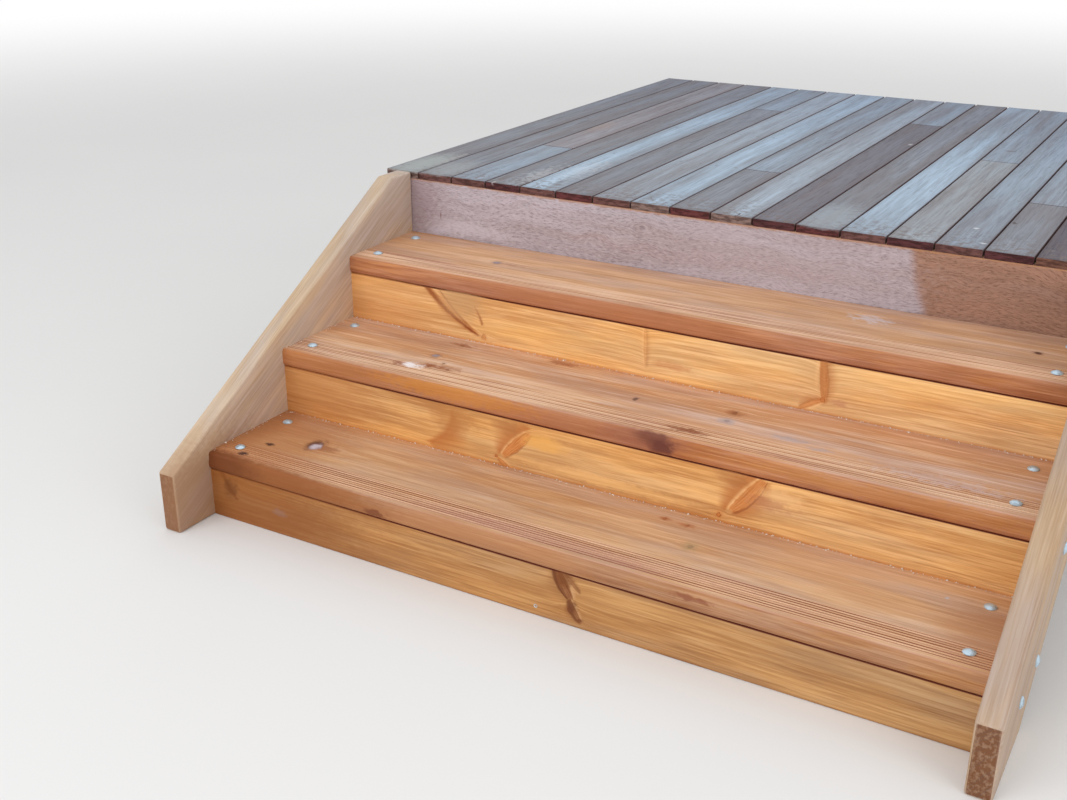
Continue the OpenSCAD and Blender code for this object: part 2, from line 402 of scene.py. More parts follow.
def soft_mark() -> ShaderGroup:
    """Builds the group of one stain, scuff, splash or patch of painted shade, with a broken edge.

    Returns:
        A group whose Mark is 1 inside an oval round Centre, worn through by fine noise.
    """
    group = ShaderGroup(
        "soft_mark",
        {"Vector": (0, 0, 0), "Centre": (0, 0, 0), "Reach": (0.02, 0.02, 0.02), "Break": 0.4, "Torn": 0.5},
        {"Mark": 0.0},
    )
    graph, given = group.graph, group.given
    away = graph.vector("SUBTRACT", given["Vector"], given["Centre"])
    ratio = graph.vector("LENGTH", graph.vector("DIVIDE", away, given["Reach"]))
    torn = graph.times(graph.minus(given["Torn"], 0.5), given["Break"])
    ratio = graph.plus(ratio, graph.times(torn, 4.0))
    group.close(Mark=graph.step(ratio, 1.15, 0.35))
    return group


def weather_film() -> ShaderGroup:
    """Builds the group of the patchy film that sun and rain leave on the faces that look up.

    Returns:
        A group whose Film is the patchy cover, Grime small dark specks and Up 1 on level faces.
    """
    group = ShaderGroup(
        "weather_film",
        {"Vector": (0, 0, 0), "Cover": 0.5, "Specks": 0.5},
        dict.fromkeys(("Film", "Grime", "Up"), 0.0),
    )
    graph, given = group.graph, group.given
    broad = graph.grain(given["Vector"], (2.2, 13.0, 13.0), 4.0, 0.62)
    edge = graph.minus(0.78, graph.times(given["Cover"], 0.56))
    spot = graph.noise(given["Vector"], 260.0, 2.0, 0.6).outputs[0]
    group.close(
        Film=graph.step(broad, graph.minus(edge, 0.16), graph.plus(edge, 0.16)),
        Grime=graph.step(spot, graph.minus(0.86, graph.times(given["Specks"], 0.2)), 0.9),
        Up=graph.step(graph.facing()[2], 0.35, 0.9),
    )
    return group


@dataclass(frozen=True)
class Knot:
    """A branch foot in a board, in the part's own frame, from its face to its inner end."""

    start: Point
    end: Point
    radius: float
    strength: float = 1.0


@dataclass(frozen=True)
class Branch:
    """A branch sawn along its length on a plumb face, its bark on the right of the way from start to end."""

    start: Point
    end: Point
    width: float
    bow: float = 0.0
    line: float = 0.003
    heart: float = 0.8
    edge: float = 0.8
    resin: float = 0.5
    sweep: float = 0.008


@dataclass(frozen=True)
class Mark:
    """A stain, scuff or splash on a board, or a patch of painted shade, in the part's own frame."""

    centre: Point
    reach: Point
    colour: Colour
    strength: float = 0.7
    broken: float = 0.4


@dataclass(frozen=True)
class PineTones:
    """The colours of one stained pine timber. Front multiplies them on the face of a nose."""

    early: Colour
    late: Colour
    streak: Colour
    film: Colour
    knot: Colour
    bark: Colour
    # the colour of the painted highlight line on a tread's rounded nose
    arris: Colour
    end_grain: Colour = (0.3, 0.13, 0.058)
    rib: Colour = (0.8, 0.5, 0.29)
    # the colour of the painted shade in a tread's grooves
    groove: Colour = (0.27, 0.095, 0.042)
    left: Colour = (1.0, 1.0, 1.0)
    right: Colour = (1.0, 1.0, 1.0)
    front: Colour = (1.0, 1.0, 1.0)
    front_foot: Colour = (1.0, 1.0, 1.0)


class Run(Enum):
    """The axis that a timber's length lies along."""

    ACROSS = 0
    INWARD = 1
    UPRIGHT = 2


@dataclass(frozen=True)
class PineFinish:
    """Stained pine: rings, knots, a weathered film on top and marks."""

    name: str
    tones: PineTones
    pith: Point
    ring: float = 0.006
    waver: float = 0.03
    contrast: float = 0.55
    streaks: float = 0.45
    cover: float = 0.5
    film: float = 0.5
    side_film: float = 0.0
    run: Run = Run.ACROSS
    pitch: float = 0.0
    gloss: float = 0.55
    seed: float = 0.0
    front_height: float = 0.0
    # the height of the painted shadow line at the top of a riser, under the nose of the tread above
    lip: float = 0.0
    # the height of a riser's foot, where a narrow band of painted shade is laid
    foot: float = 0.0
    knots: tuple[Knot, ...] = ()
    branches: tuple[Branch, ...] = ()
    marks: tuple[Mark, ...] = ()
    # how dark the painted shade in a tread's grooves is
    worn: float = 0.0


@dataclass(frozen=True)
class HardwoodFinish:
    """Weathered hardwood: one shade, or two where a joint or an old cover divides it."""

    name: str
    shade: Colour
    far_shade: Colour
    divide: float
    soften: float
    end: Colour
    lengthwise: bool
    seed: float
    ring: float = 0.0045
    patch: Colour = (0.2, 0.155, 0.145)
    patches: float = 0.6
    flecks: float = 0.26
    streaks: float = 0.42
    fine: Point = (12.0, 260.0, 260.0)
    front: float = -9.0
    sway: float = 0.0
    side: Colour = (0.15, 0.062, 0.045)
    knots: tuple[Knot, ...] = ()
    marks: tuple[Mark, ...] = ()


class Coat:
    """A material on its way: its graph, the places on the timber, and the colour laid down so far."""

    def __init__(self, name: str, colour: Feed = (1.0, 1.0, 1.0)) -> None:
        """Starts the material with an emptied graph.

        Args:
            name: the material's name.
            colour: the colour below all others.
        """
        self.material = bpy.data.materials.new(name)
        self.material.use_nodes = True
        self.graph = Graph(self.material.node_tree)
        self.graph.tree.nodes.clear()
        self.place = self.graph.add("ShaderNodeTexCoord").outputs["Object"]
        self.colour = colour
        self.uneven: Feed = self.place
        self.torn: Feed = 0.5

    def wobble(self, stretch: Point) -> None:
        """Makes the unevenness that knots and marks share, so fine each way."""
        torn = self.graph.noise(self.graph.vector("MULTIPLY", self.place, stretch), 1.0, 4.0, 0.62)
        shift = self.graph.vector("SUBTRACT", torn.outputs["Color"], (0.5, 0.5, 0.5))
        self.uneven = self.graph.vector("ADD", self.place, self.graph.vector("SCALE", shift, scale=0.016))
        self.torn = torn.outputs[0]

    def lay(self, tone: Feed, mask: Feed, share: Feed | None = None) -> None:
        """Lays a tone over the colour by a mask, or by a share of it."""
        cover = mask if share is None else self.graph.times(mask, share)
        self.colour = self.graph.tint(cover, self.colour, tone)

    def dye(self, tone: Feed) -> None:
        """Multiplies the colour by a tone."""
        self.colour = self.graph.dye(self.colour, tone)

    def close(self, rough: Feed, height: Feed, relief: float, **constants: Feed) -> Material:
        """Ends the material with its shader.

        Args:
            rough: the roughness.
            height: a bump height from 0 to 1.
            relief: the bump's depth in metres.
            constants: the shader's other inputs, named with underscores for spaces.

        Returns:
            The material.
        """
        bump = self.graph.add("ShaderNodeBump", {"Height": height, "Distance": relief, "Strength": 1.0})
        inputs = {"Base Color": self.colour, "Roughness": rough, "Normal": bump.outputs[0]}
        inputs.update({label.replace("_", " "): value for label, value in constants.items()})
        shader = self.graph.add("ShaderNodeBsdfPrincipled", inputs)
        self.graph.add("ShaderNodeOutputMaterial", {"Surface": shader.outputs[0]})
        return self.material


class Workshop:
    """Makes the materials of the stairs from the shared shader groups."""

    def __init__(self) -> None:
        """Builds the shared groups once."""
        self.rings = growth_rings()
        self.knot = branch_knot()
        self.branch = sawn_branch()
        self.mark = soft_mark()
        self.film = weather_film()

    def follow(self, coat: Coat, knots: Sequence[Knot],
               branches: Sequence[Branch] = ()) -> tuple[Feed, dict[str, Feed]]:
        """Bends the grain round a row of knots and sawn branches.

        Args:
            coat: the material.
            knots: the knots.
            branches: the sawn branches.

        Returns:
            The bent coordinates, and the outputs of the last knot and the last branch.
        """
        graph = coat.graph
        chain = KNOT_ROW
        for knot in knots:
            outputs = self.knot.place(graph, Vector=coat.uneven, Torn=coat.torn, **sockets(knot), **chain)
            chain = {label: outputs[label] for label in chain}
        still = graph.vector("SCALE", coat.place, scale=0.75)
        loose = graph.vector("SCALE", coat.uneven, scale=0.25)
        steady = graph.vector("ADD", still, loose)
        row = {**BRANCH_ROW, "Flow": chain["Flow"]}
        for branch in branches:
            outputs = self.branch.place(graph, Vector=steady, Torn=coat.torn, **sockets(branch), **row)
            row = {label: outputs[label] for label in row}
        bent = graph.vector("ADD", coat.place, row["Flow"]) if knots or branches else coat.place
        return bent, {**chain, **row}

    def marked(self, coat: Coat, marks: Iterable[Mark]) -> None:
        """Lays marks over the colour, the first one lowest."""
        for mark in marks:
            mask = self.mark.place(
                coat.graph, Vector=coat.uneven, Centre=mark.centre, Reach=mark.reach, Break=mark.broken,
                Torn=coat.torn)
            coat.lay(mark.colour, mask["Mark"], mark.strength)

    def knotted(self, coat: Coat, chain: dict[str, Feed], tones: PineTones) -> None:
        """Colours the knots, the bark round them and the resin near them.

        Args:
            coat: the material.
            chain: the knots' outputs.
            tones: the timber's tones.
        """
        graph = coat.graph
        whorl = graph.math("FRACT", graph.times(chain["Whorl"], 2.6))
        lines = graph.times(graph.step(whorl, 0.35, 0.95), 0.45)
        coat.lay(tones.knot, graph.math("POWER", chain["Halo"], 1.6), 0.5)
        coat.lay(graph.tint(lines, tones.knot, tones.bark), chain["Knot"], 0.9)
        coat.lay(tones.bark, chain["Rim"], 0.8)

    def branched(self, coat: Coat, chain: dict[str, Feed], tones: PineTones) -> None:
        """Colours the branches that are sawn along their length.

        Args:
            coat: the material.
            chain: the branches' outputs.
            tones: the timber's tones.
        """
        graph = coat.graph
        lines = graph.step(chain["Grain"], 0.36, 0.62)
        heart = graph.tint(
            lines, graph.tint(0.3, tones.knot, tones.bark), graph.tint(0.2, tones.knot, tones.early))
        coat.lay(graph.dye(tones.early, (1.06, 1.14, 1.25)), chain["Glow"], 0.5)
        coat.lay(graph.tint(0.35, tones.knot, tones.bark), chain["Shade"], 0.8)
        coat.lay(heart, chain["Core"])
        coat.lay(tones.bark, chain["Bark"])

    def pine(self, finish: PineFinish) -> Material:
        """Makes a stained pine material.

        Args:
            finish: the timber's tones, grain, knots and marks.

        Returns:
            The material.
        """
        coat = Coat(finish.name)
        graph, tones = coat.graph, finish.tones
        coat.wobble((50.0, 90.0, 90.0))
        bent, chain = self.follow(coat, finish.knots, finish.branches)
        lengthwise = graph.add(
            "ShaderNodeMapping", {"Vector": bent, "Rotation": (finish.pitch, 0.0, 0.0)}).outputs[0]
        across, inward, up = graph.split(lengthwise)
        if finish.run is Run.INWARD:
            lengthwise = graph.join(inward, across, up)
        if finish.run is Run.UPRIGHT:
            lengthwise = graph.join(up, inward, across)
        rings = self.rings.place(
            graph, Vector=lengthwise, Pith=finish.pith, Ring=finish.ring, Waver=finish.waver,
            Seed=finish.seed)
        film = self.film.place(graph, Vector=lengthwise, Cover=finish.cover, Specks=0.4)
        late = rings["Late"]
        coat.colour = graph.tint(graph.step(rings["Drift"], 0.38, 0.6), tones.early, tones.streak)
        streak = graph.step(rings["Streak"], 0.46, 0.62)
        coat.lay(tones.late, streak, finish.streaks)
        coat.lay(tones.late, late, finish.contrast)
        fibre = graph.step(rings["Fibre"], 0.46, 0.62)
        coat.lay(tones.late, fibre, 0.42)
        light = graph.dye(tones.early, (1.12, 1.2, 1.35))
        coat.lay(light, graph.step(rings["Fibre"], 0.46, 0.32), 0.35)
        coat.lay(light, graph.step(rings["Streak"], 0.46, 0.34), 0.4)
        coat.lay(tones.film, film["Film"], graph.lerp(film["Up"], finish.side_film, finish.film))
        slow = graph.grain(lengthwise, (2.2, 12.0, 12.0), 3.0, 0.6)
        coat.dye(graph.tint(graph.step(slow, 0.36, 0.62), (0.91, 0.94, 1.02), (1.06, 1.03, 0.92)))
        x, _, z = graph.split(coat.place)
        width = graph.math("ADD", graph.over(x, STAIR_WIDTH / 1000.0), 0.5, clamp=True)
        coat.dye(graph.tint(width, tones.left, tones.right))
        end = graph.step(graph.math("ABSOLUTE", graph.facing()[finish.run.value]), 0.93, 0.985)
        sawn = graph.stain(tones.end_grain, tones.bark, late, 0.5)
        coat.lay(graph.stain(sawn, tones.streak, streak, 0.3), end, 0.92)
        if finish.front_height:
            self.nosed(coat, finish)
        if finish.branches:
            self.branched(coat, chain, tones)
        if finish.knots:
            self.knotted(coat, chain, tones)
        # a reeded tread gets painted shade in its grooves and a painted highlight on its nose
        if finish.worn:
            self.reeded(coat, tones, finish.worn)
        # painted shadow: a thin dark line at the top of a riser, under the nose above; painted shade: a
        # darker band at its foot
        if finish.lip:
            coat.lay((0.1, 0.012, 0.002), graph.step(z, finish.lip - 0.0036, finish.lip - 0.0018))
            coat.lay(tones.knot, graph.step(z, finish.foot + 0.006, finish.foot + 0.001), 0.5)
        self.marked(coat, finish.marks)
        coat.lay(tones.bark, film["Grime"], 0.5)
        height = graph.plus(graph.times(late, 0.6), graph.times(fibre, 0.4))
        rough = graph.lerp(late, finish.gloss + 0.12, finish.gloss)
        return coat.close(rough, height, 0.0003, Specular_IOR_Level=0.22)

    def nosed(self, coat: Coat, finish: PineFinish) -> None:
        """Deepens the stain on a tread's front face, most at its foot.

        Args:
            coat: the material.
            finish: the finish, whose front height is that of the tread's middle.
        """
        graph = coat.graph
        front = graph.step(graph.facing("Normal")[1], -0.16, -0.46)
        patch = graph.grain(coat.place, (6.0, 40.0, 40.0), 3.0, 0.6)
        sway = graph.times(graph.minus(patch, 0.5), 0.05)
        height = graph.plus(graph.split(coat.place)[2], sway)
        foot = graph.step(height, finish.front_height + 0.006, finish.front_height - 0.012)
        deep = graph.dye(coat.colour, graph.tint(foot, finish.tones.front, finish.tones.front_foot))
        fine = graph.grain(coat.place, (5.0, 60.0, 150.0), 4.0, 0.66)
        ruddy = graph.dye(deep, (0.66, 0.5, 0.44))
        deep = graph.stain(deep, ruddy, graph.step(fine, 0.47, 0.62), 0.4)
        amber = graph.dye(deep, (1.02, 0.92, 0.6))
        coat.lay(graph.stain(deep, amber, graph.step(patch, 0.52, 0.64), 0.5), front)

    def reeded(self, coat: Coat, tones: PineTones, shade_strength: float) -> None:
        """Darkens the grooves of a reeded tread unevenly with painted shade, lightens its ribs, and paints a
        highlight line on its rounded nose.

        Args:
            coat: the material.
            tones: the timber's tones.
            shade_strength: how dark the painted shade in the grooves is.
        """
        graph = coat.graph
        band, groove, arris = (graph.held(name) for name in ("band", "groove", "arris"))
        clean_and_unshaded = graph.step(graph.grain(coat.place, (1.6, 105.0, 0.0), 2.0, 0.6), 0.4, 0.6)
        coat.lay(tones.rib, band, graph.math("MULTIPLY_ADD", clean_and_unshaded, 0.65, 0.2))
        # painted shade in the grooves, darkest at their bottoms and uneven along the tread
        groove_shade = graph.times(graph.math("MULTIPLY_ADD", clean_and_unshaded, -0.55, 1.15), shade_strength)
        coat.lay(tones.groove, graph.step(groove, 0.0, 0.5), groove_shade)
        soft = graph.step(graph.grain(coat.place, (4.0, 22.0, 0.0), 3.0, 0.6), 0.48, 0.66)
        grime = graph.times(soft, graph.math("MULTIPLY_ADD", clean_and_unshaded, -0.3, 0.42))
        coat.lay((0.4, 0.185, 0.14), band, grime)
        # painted highlight: a thin pale line along the upper curve of the rounded nose
        facing = graph.facing("Normal")[1]
        line = graph.times(graph.step(facing, -0.04, -0.2), graph.step(facing, -0.5, -0.28))
        coat.lay(tones.arris, graph.times(line, arris), 0.6)

    def hardwood(self, finish: HardwoodFinish) -> Material:
        """Makes a weathered hardwood material.

        Args:
            finish: the board's shades, ends and marks.

        Returns:
            The material.
        """
        coat = Coat(finish.name)
        graph = coat.graph
        coat.wobble((60.0, 60.0, 90.0))
        bent, chain = self.follow(coat, finish.knots)
        if finish.sway:
            figure = graph.grain(coat.place, (5.0, 0.0, 9.0), 2.0, 0.5)
            lift = graph.times(graph.minus(figure, 0.5), finish.sway)
            bent = graph.vector("ADD", bent, graph.join(0.0, 0.0, lift))
        x, y, z = graph.split(bent)
        along = graph.join(x, y, z) if finish.lengthwise else graph.join(y, x, z)
        rings = self.rings.place(
            graph, Vector=along, Pith=(0.0, finish.seed * 0.01, 0.2), Ring=finish.ring, Waver=0.03,
            Seed=finish.seed, Fine=finish.fine)
        film = self.film.place(graph, Vector=along, Cover=0.5, Specks=0.35)
        position = graph.split(along)[0]
        if finish.lengthwise:
            position = graph.plus(position, graph.times(z, 0.29))
        far = graph.step(position, finish.divide - finish.soften, finish.divide + finish.soften)
        base = graph.tint(far, finish.shade, finish.far_shade)
        deep = graph.dye(base, (0.66, 0.57, 0.54))
        dark = graph.dye(base, (0.36, 0.3, 0.3))
        pale = graph.dye(base, (1.3, 1.32, 1.34))
        shifted = graph.vector("ADD", along, (finish.seed * 3.1, 0.0, finish.seed))
        broad = graph.grain(shifted, (1.1, 17.0, 17.0), 4.0, 0.58)
        coat.colour = base
        coat.lay(finish.patch, graph.step(broad, 0.42, 0.68), finish.patches)
        coat.lay(pale, graph.step(graph.minus(1.0, broad), 0.52, 0.66), finish.patches * 0.7)
        coat.lay(deep, graph.step(rings["Streak"], 0.45, 0.66), finish.streaks)
        coat.lay(deep, rings["Late"], finish.streaks * 0.5)
        fibre = graph.step(rings["Fibre"], 0.5, 0.68)
        coat.lay(dark, fibre, finish.flecks)
        coat.lay(pale, graph.step(rings["Fibre"], 0.44, 0.3), finish.flecks)
        if finish.knots:
            coat.lay(deep, chain["Halo"], 0.35)
            coat.lay(dark, chain["Knot"], 0.6)
        nx, ny, nz = (graph.math("ABSOLUTE", number) for number in graph.facing())
        ends, edges = (nx, nz) if finish.lengthwise else (ny, nx)
        if not finish.lengthwise:
            front = finish.front
            ragged = graph.math("MULTIPLY_ADD", coat.torn, 0.03, position)
            coat.lay(dark, graph.step(ragged, front + 0.034, front + 0.012), 0.5)
            near = graph.step(ragged, front + 0.25, front)
            coat.lay(finish.patch, graph.times(near, graph.step(coat.torn, 0.46, 0.62)), 0.8)
            # painted shade: each board darkens from 0.5 m to 1.8 m behind the deck's front edge
            distance_shade = graph.dye(coat.colour, (0.78, 0.8, 0.86))
            coat.lay(distance_shade, graph.step(position, front + 0.5, front + 1.8))
        coat.lay(finish.side, graph.step(edges, 0.6, 0.9), 0.85)
        coat.lay(deep, graph.held("arris"), 0.4)
        grit = graph.grain(bent, (40.0, 40.0, 160.0), 3.0, 0.6)
        bright, dull = (graph.dye(finish.end, tone) for tone in ((1.2, 1.25, 1.25), (0.5, 0.45, 0.45)))
        coat.lay(graph.tint(graph.step(grit, 0.35, 0.62), bright, dull), graph.step(ends, 0.5, 0.9))
        self.marked(coat, finish.marks)
        coat.lay(dark, film["Grime"], 0.5)
        height = graph.minus(1.0, graph.times(fibre, 0.8))
        return coat.close(graph.lerp(fibre, 0.66, 0.82), height, 0.0004, Specular_IOR_Level=0.25)

    def steel(self, name: str, colour: Colour, grime: Colour, rough: float) -> Material:
        """Makes galvanised steel with its faint crystals.

        Args:
            name: the material's name.
            colour: the zinc's colour.
            grime: the colour of its grime.
            rough: the roughness.

        Returns:
            The material.
        """
        coat = Coat(name, colour)
        graph = coat.graph
        crystals = graph.add("ShaderNodeTexVoronoi", {"Vector": coat.place, "Scale": 260.0}).outputs["Color"]
        tone = graph.split(crystals)[0]
        patch = graph.noise(coat.place, 70.0, 3.0, 0.6).outputs[0]
        coat.lay(graph.dye(colour, (1.12, 1.12, 1.12)), tone)
        coat.lay(grime, graph.step(patch, 0.5, 0.66), 0.55)
        return coat.close(graph.lerp(tone, rough - 0.06, rough + 0.08), patch, 0.0002, Metallic=0.6)

    def grit(self) -> Material:
        """Makes the pale sawdust."""
        coat = Coat("pale_sawdust", (0.62, 0.5, 0.4))
        tone = coat.graph.noise(coat.place, 320.0, 1.0).outputs[0]
        coat.lay((0.86, 0.82, 0.76), coat.graph.step(tone, 0.3, 0.7))
        return coat.close(0.9, tone, 0.0002)


@dataclass
class Bench:
    """Turns working measures, from the left stringer and the bottom nose, into the part's frame."""

    left: float = 0.0
    nose: float = 0.0

    def __post_init__(self) -> None:
        """Reads the left stringer's inner face and the bottom tread's nose from the frame."""
        low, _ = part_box("tread_1")
        self.left, self.nose = low.x, low.y

    def at(self, x: float, y: float, z: float) -> Point:
        """Returns the part's coordinates of a working place in millimetres."""
        return (self.left + x / 1000.0, self.nose + y / 1000.0, z / 1000.0)


def dress(node: str, material: Material) -> None:
    """Gives a carried-over CAD node its material."""
    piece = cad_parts[node]
    piece.data.materials.clear()
    piece.data.materials.append(material)
    LOG.info("dressed %s in %s", node, material.name)


def harden(piece: Piece) -> Piece:
    """Turns a piece's modifiers into a plain mesh.

    Args:
        piece: the object with its modifiers.

    Returns:
        The same object with the evaluated mesh and no modifier.
    """
    graph = bpy.context.evaluated_depsgraph_get()
    evaluated = piece.evaluated_get(graph)
    mesh = bpy.data.meshes.new_from_object(evaluated, preserve_all_data_layers=True, depsgraph=graph)
    piece.modifiers.clear()
    piece.data = mesh
    mesh.name = piece.name
    return piece


def mount(piece: Piece, slot: str, *nodes: str) -> Piece:
    """Lets a finished piece ride on the stairs.

    Args:
        piece: the finished object.
        slot: not used.
        nodes: the CAD nodes that it stands for.

    Returns:
        The piece.
    """
    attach(piece, BODY)
    if nodes:
        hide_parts(*nodes)
    LOG.info("made %s with %d faces", piece.name, len(piece.data.polygons))
    return piece


def link_mesh(name: str, points: Any, edges: Any, faces: Any) -> Piece:
    """Makes an object from points, edges and faces.

    Args:
        name: the piece's name.
        points: the corners.
        edges: pairs of corners.
        faces: rings of corners.

    Returns:
        The new object.
    """
    mesh = bpy.data.meshes.new(name)
    mesh.from_pydata([tuple(map(float, p)) for p in points], edges, faces)
    mesh.update()
    piece = bpy.data.objects.new(name, mesh)
    bpy.context.scene.collection.objects.link(piece)
    return piece


class PieceTree:
    """A Geometry Nodes tree with named inputs that ends in Realize Instances and Set Material."""

    def __init__(self, name: str, inputs: dict[str, Feed]) -> None:
        """Makes the tree with its inputs.

        Args:
            name: the tree's name.
            inputs: each input's name and its default, a whole number, a number or a vector.
        """
        self.tree = bpy.data.node_groups.new(name, "GeometryNodeTree")
        face = self.tree.interface
        face.new_socket("Geometry", in_out="INPUT", socket_type="NodeSocketGeometry")
        for label, default in inputs.items():
            kind = "Int" if isinstance(default, int) else "Float" if isinstance(default, float) else "Vector"
            socket = face.new_socket(label, in_out="INPUT", socket_type=f"NodeSocket{kind}")
            socket.default_value = default
        face.new_socket("Material", in_out="INPUT", socket_type="NodeSocketMaterial")
        face.new_socket("Geometry", in_out="OUTPUT", socket_type="NodeSocketGeometry")
        self.graph = Graph(self.tree)
        self.given = self.graph.add("NodeGroupInput").outputs

    def made(self, kind: str, inputs: dict[Any, Feed] | None = None, **settings: Any) -> Socket:
        """Returns the first output of a new node."""
        return self.graph.add(kind, inputs, **settings).outputs[0]

    def moved(self, geometry: Feed, offset: Feed) -> Socket:
        """Returns a geometry with its points moved."""
        return self.made("GeometryNodeSetPosition", {"Geometry": geometry, "Offset": offset})

    def place(self) -> tuple[Socket, ...]:
        """Returns the three numbers of a point's place."""
        return self.graph.split(self.made("GeometryNodeInputPosition"))

    def stand(self, head: Socket) -> None:
        """Ends the tree with a head on each point, turned along the point's attribute axis."""
        axis = self.made("GeometryNodeInputNamedAttribute", {"Name": "axis"}, data_type="FLOAT_VECTOR")
        turned = self.made("FunctionNodeAlignRotationToVector", {"Vector": axis}, axis="Z")
        self.end(self.made("GeometryNodeInstanceOnPoints", {
            "Points": self.given["Geometry"], "Instance": head, "Rotation": turned}))

    def end(self, geometry: Socket) -> None:
        """Realizes the instances, sets the material and closes the tree."""
        real = self.made("GeometryNodeRealizeInstances", {0: geometry})
        inputs = {"Geometry": real, "Material": self.given["Material"]}
        self.graph.add("NodeGroupOutput", {0: self.made("GeometryNodeSetMaterial", inputs)})

    def grow(self, piece: Piece, material: Material, **values: Feed) -> Piece:
        """Runs the tree on an object and keeps the result as a plain mesh.

        Args:
            piece: the object that carries the path or the points.
            material: the finish.
            values: the inputs, named with underscores for spaces.

        Returns:
            The object with its grown mesh.
        """
        modifier = piece.modifiers.new(self.tree.name, "NODES")
        modifier.node_group = self.tree
        items = self.tree.interface.items_tree
        keys = {item.name: item.identifier for item in items if item.in_out == "INPUT"}
        modifier[keys["Material"]] = material
        for label, value in values.items():
            modifier[keys[label.replace("_", " ")]] = value
        return harden(piece)


def board_tree() -> PieceTree:
    """Builds the tree of a sawn board: each edge of the mesh becomes one length with eased arrises.

    Returns:
        The tree. Its result has an attribute arris, 1 on the rounded corners.
    """
    sawn = PieceTree("sawn_board", {
        "Width": 0.103, "Thickness": 0.019, "Arris": 0.002, "Station": 0.06,
        "Cup": 0.0005, "Wave": 0.0006, "Seed": 0.0,
    })
    graph, given = sawn.graph, sawn.given
    path = sawn.made("GeometryNodeMeshToCurve", {"Mesh": given["Geometry"]})
    path = sawn.made("GeometryNodeResampleCurve", {"Curve": path, "Length": given["Station"]}, mode="LENGTH")
    section = sawn.made(
        "GeometryNodeCurvePrimitiveQuadrilateral", {"Width": given["Width"], "Height": given["Thickness"]})
    section = sawn.made(
        "GeometryNodeFilletCurve", {"Curve": section, "Radius": given["Arris"], "Count": 3}, mode="POLY")
    section = sawn.made("GeometryNodeSubdivideCurve", {"Curve": section, "Cuts": 2})
    x, y, _ = sawn.place()
    side = graph.minus(graph.times(given["Width"], 0.5), graph.math("ABSOLUTE", x))
    lift = graph.minus(graph.times(given["Thickness"], 0.5), graph.math("ABSOLUTE", y))
    corner = graph.math("LESS_THAN", graph.math("MAXIMUM", side, lift), graph.times(given["Arris"], 1.02))
    across = graph.over(x, graph.times(given["Width"], 0.5))
    for name, value in (("arris", corner), ("across", across)):
        section = sawn.made(
            "GeometryNodeStoreNamedAttribute", {"Geometry": section, "Name": name, "Value": value})
    board = sawn.made(
        "GeometryNodeCurveToMesh", {"Curve": path, "Profile Curve": section, "Fill Caps": True})
    spread = sawn.made("GeometryNodeInputNamedAttribute", {"Name": "across"})
    hollow = graph.times(graph.minus(graph.times(spread, spread), 1.0), given["Cup"])
    stretched = graph.vector("MULTIPLY", sawn.made("GeometryNodeInputPosition"), (4.0, 1.6, 0.0))
    waves = sawn.made("ShaderNodeTexNoise", {"Vector": stretched, "W": given["Seed"]}, noise_dimensions="4D")
    sink = graph.times(graph.times(waves, -1.0), given["Wave"])
    board = sawn.moved(board, graph.join(0.0, 0.0, graph.plus(hollow, sink)))
    sawn.end(sawn.made("GeometryNodeSetShadeSmooth", {"Geometry": board, "Shade Smooth": True}))
    return sawn


def bolt_tree() -> PieceTree:
    """Builds the tree of cup-head bolts: one bolt with washer, nut and tip stands on each point.

    Returns:
        The tree. Each point's vector attribute axis points out of the head.
    """
    bolts = PieceTree("cup_head_bolts", {
        "Head": 0.0245, "Rim": 0.0014, "Dome": 0.0046, "Grip": 0.05, "Shank": 0.01,
        "Nut": 0.017, "Nut Height": 0.008, "Tip": 0.006, "Washer": 0.024,
    })
    graph, given = bolts.graph, bolts.given

    def rod(sides: int, radius: Feed, length: Feed, centre: Feed, fills: int = 1) -> Socket:
        """Returns a cylinder along Z round a height."""
        inputs = {"Vertices": sides, "Fill Segments": fills, "Radius": radius, "Depth": length}
        return bolts.moved(bolts.made("GeometryNodeMeshCylinder", inputs), graph.join(0.0, 0.0, centre))

    half_head = graph.times(given["Head"], 0.5)
    head = rod(28, half_head, given["Rim"], graph.times(given["Rim"], 0.5), fills=6)
    x, y, z = bolts.place()
    ratio = graph.over(graph.vector("LENGTH", graph.join(x, y, 0.0)), half_head)
    bulge = graph.times(graph.minus(1.0, graph.math("POWER", ratio, 2.3)), given["Dome"])
    top = graph.math("GREATER_THAN", z, graph.times(given["Rim"], 0.6))
    head = bolts.moved(head, graph.join(0.0, 0.0, graph.times(bulge, top)))
    deep = graph.times(given["Grip"], -1.0)
    washer_t = 0.002
    washer = rod(24, graph.times(given["Washer"], 0.5), washer_t, graph.minus(deep, washer_t / 2))
    nut_z = graph.minus(graph.minus(deep, graph.times(given["Nut Height"], 0.5)), washer_t)
    nut = rod(6, graph.times(given["Nut"], HEXAGON), given["Nut Height"], nut_z)
    run = graph.plus(graph.plus(given["Nut Height"], given["Tip"]), washer_t)
    tip = rod(16, graph.times(given["Shank"], 0.5), run, graph.minus(deep, graph.times(run, 0.5)))
    whole = graph.add("GeometryNodeJoinGeometry")
    for part in (head, washer, nut, tip):
        graph.tree.links.new(part, whole.inputs[0])
    bolts.stand(whole.outputs[0])
    return bolts


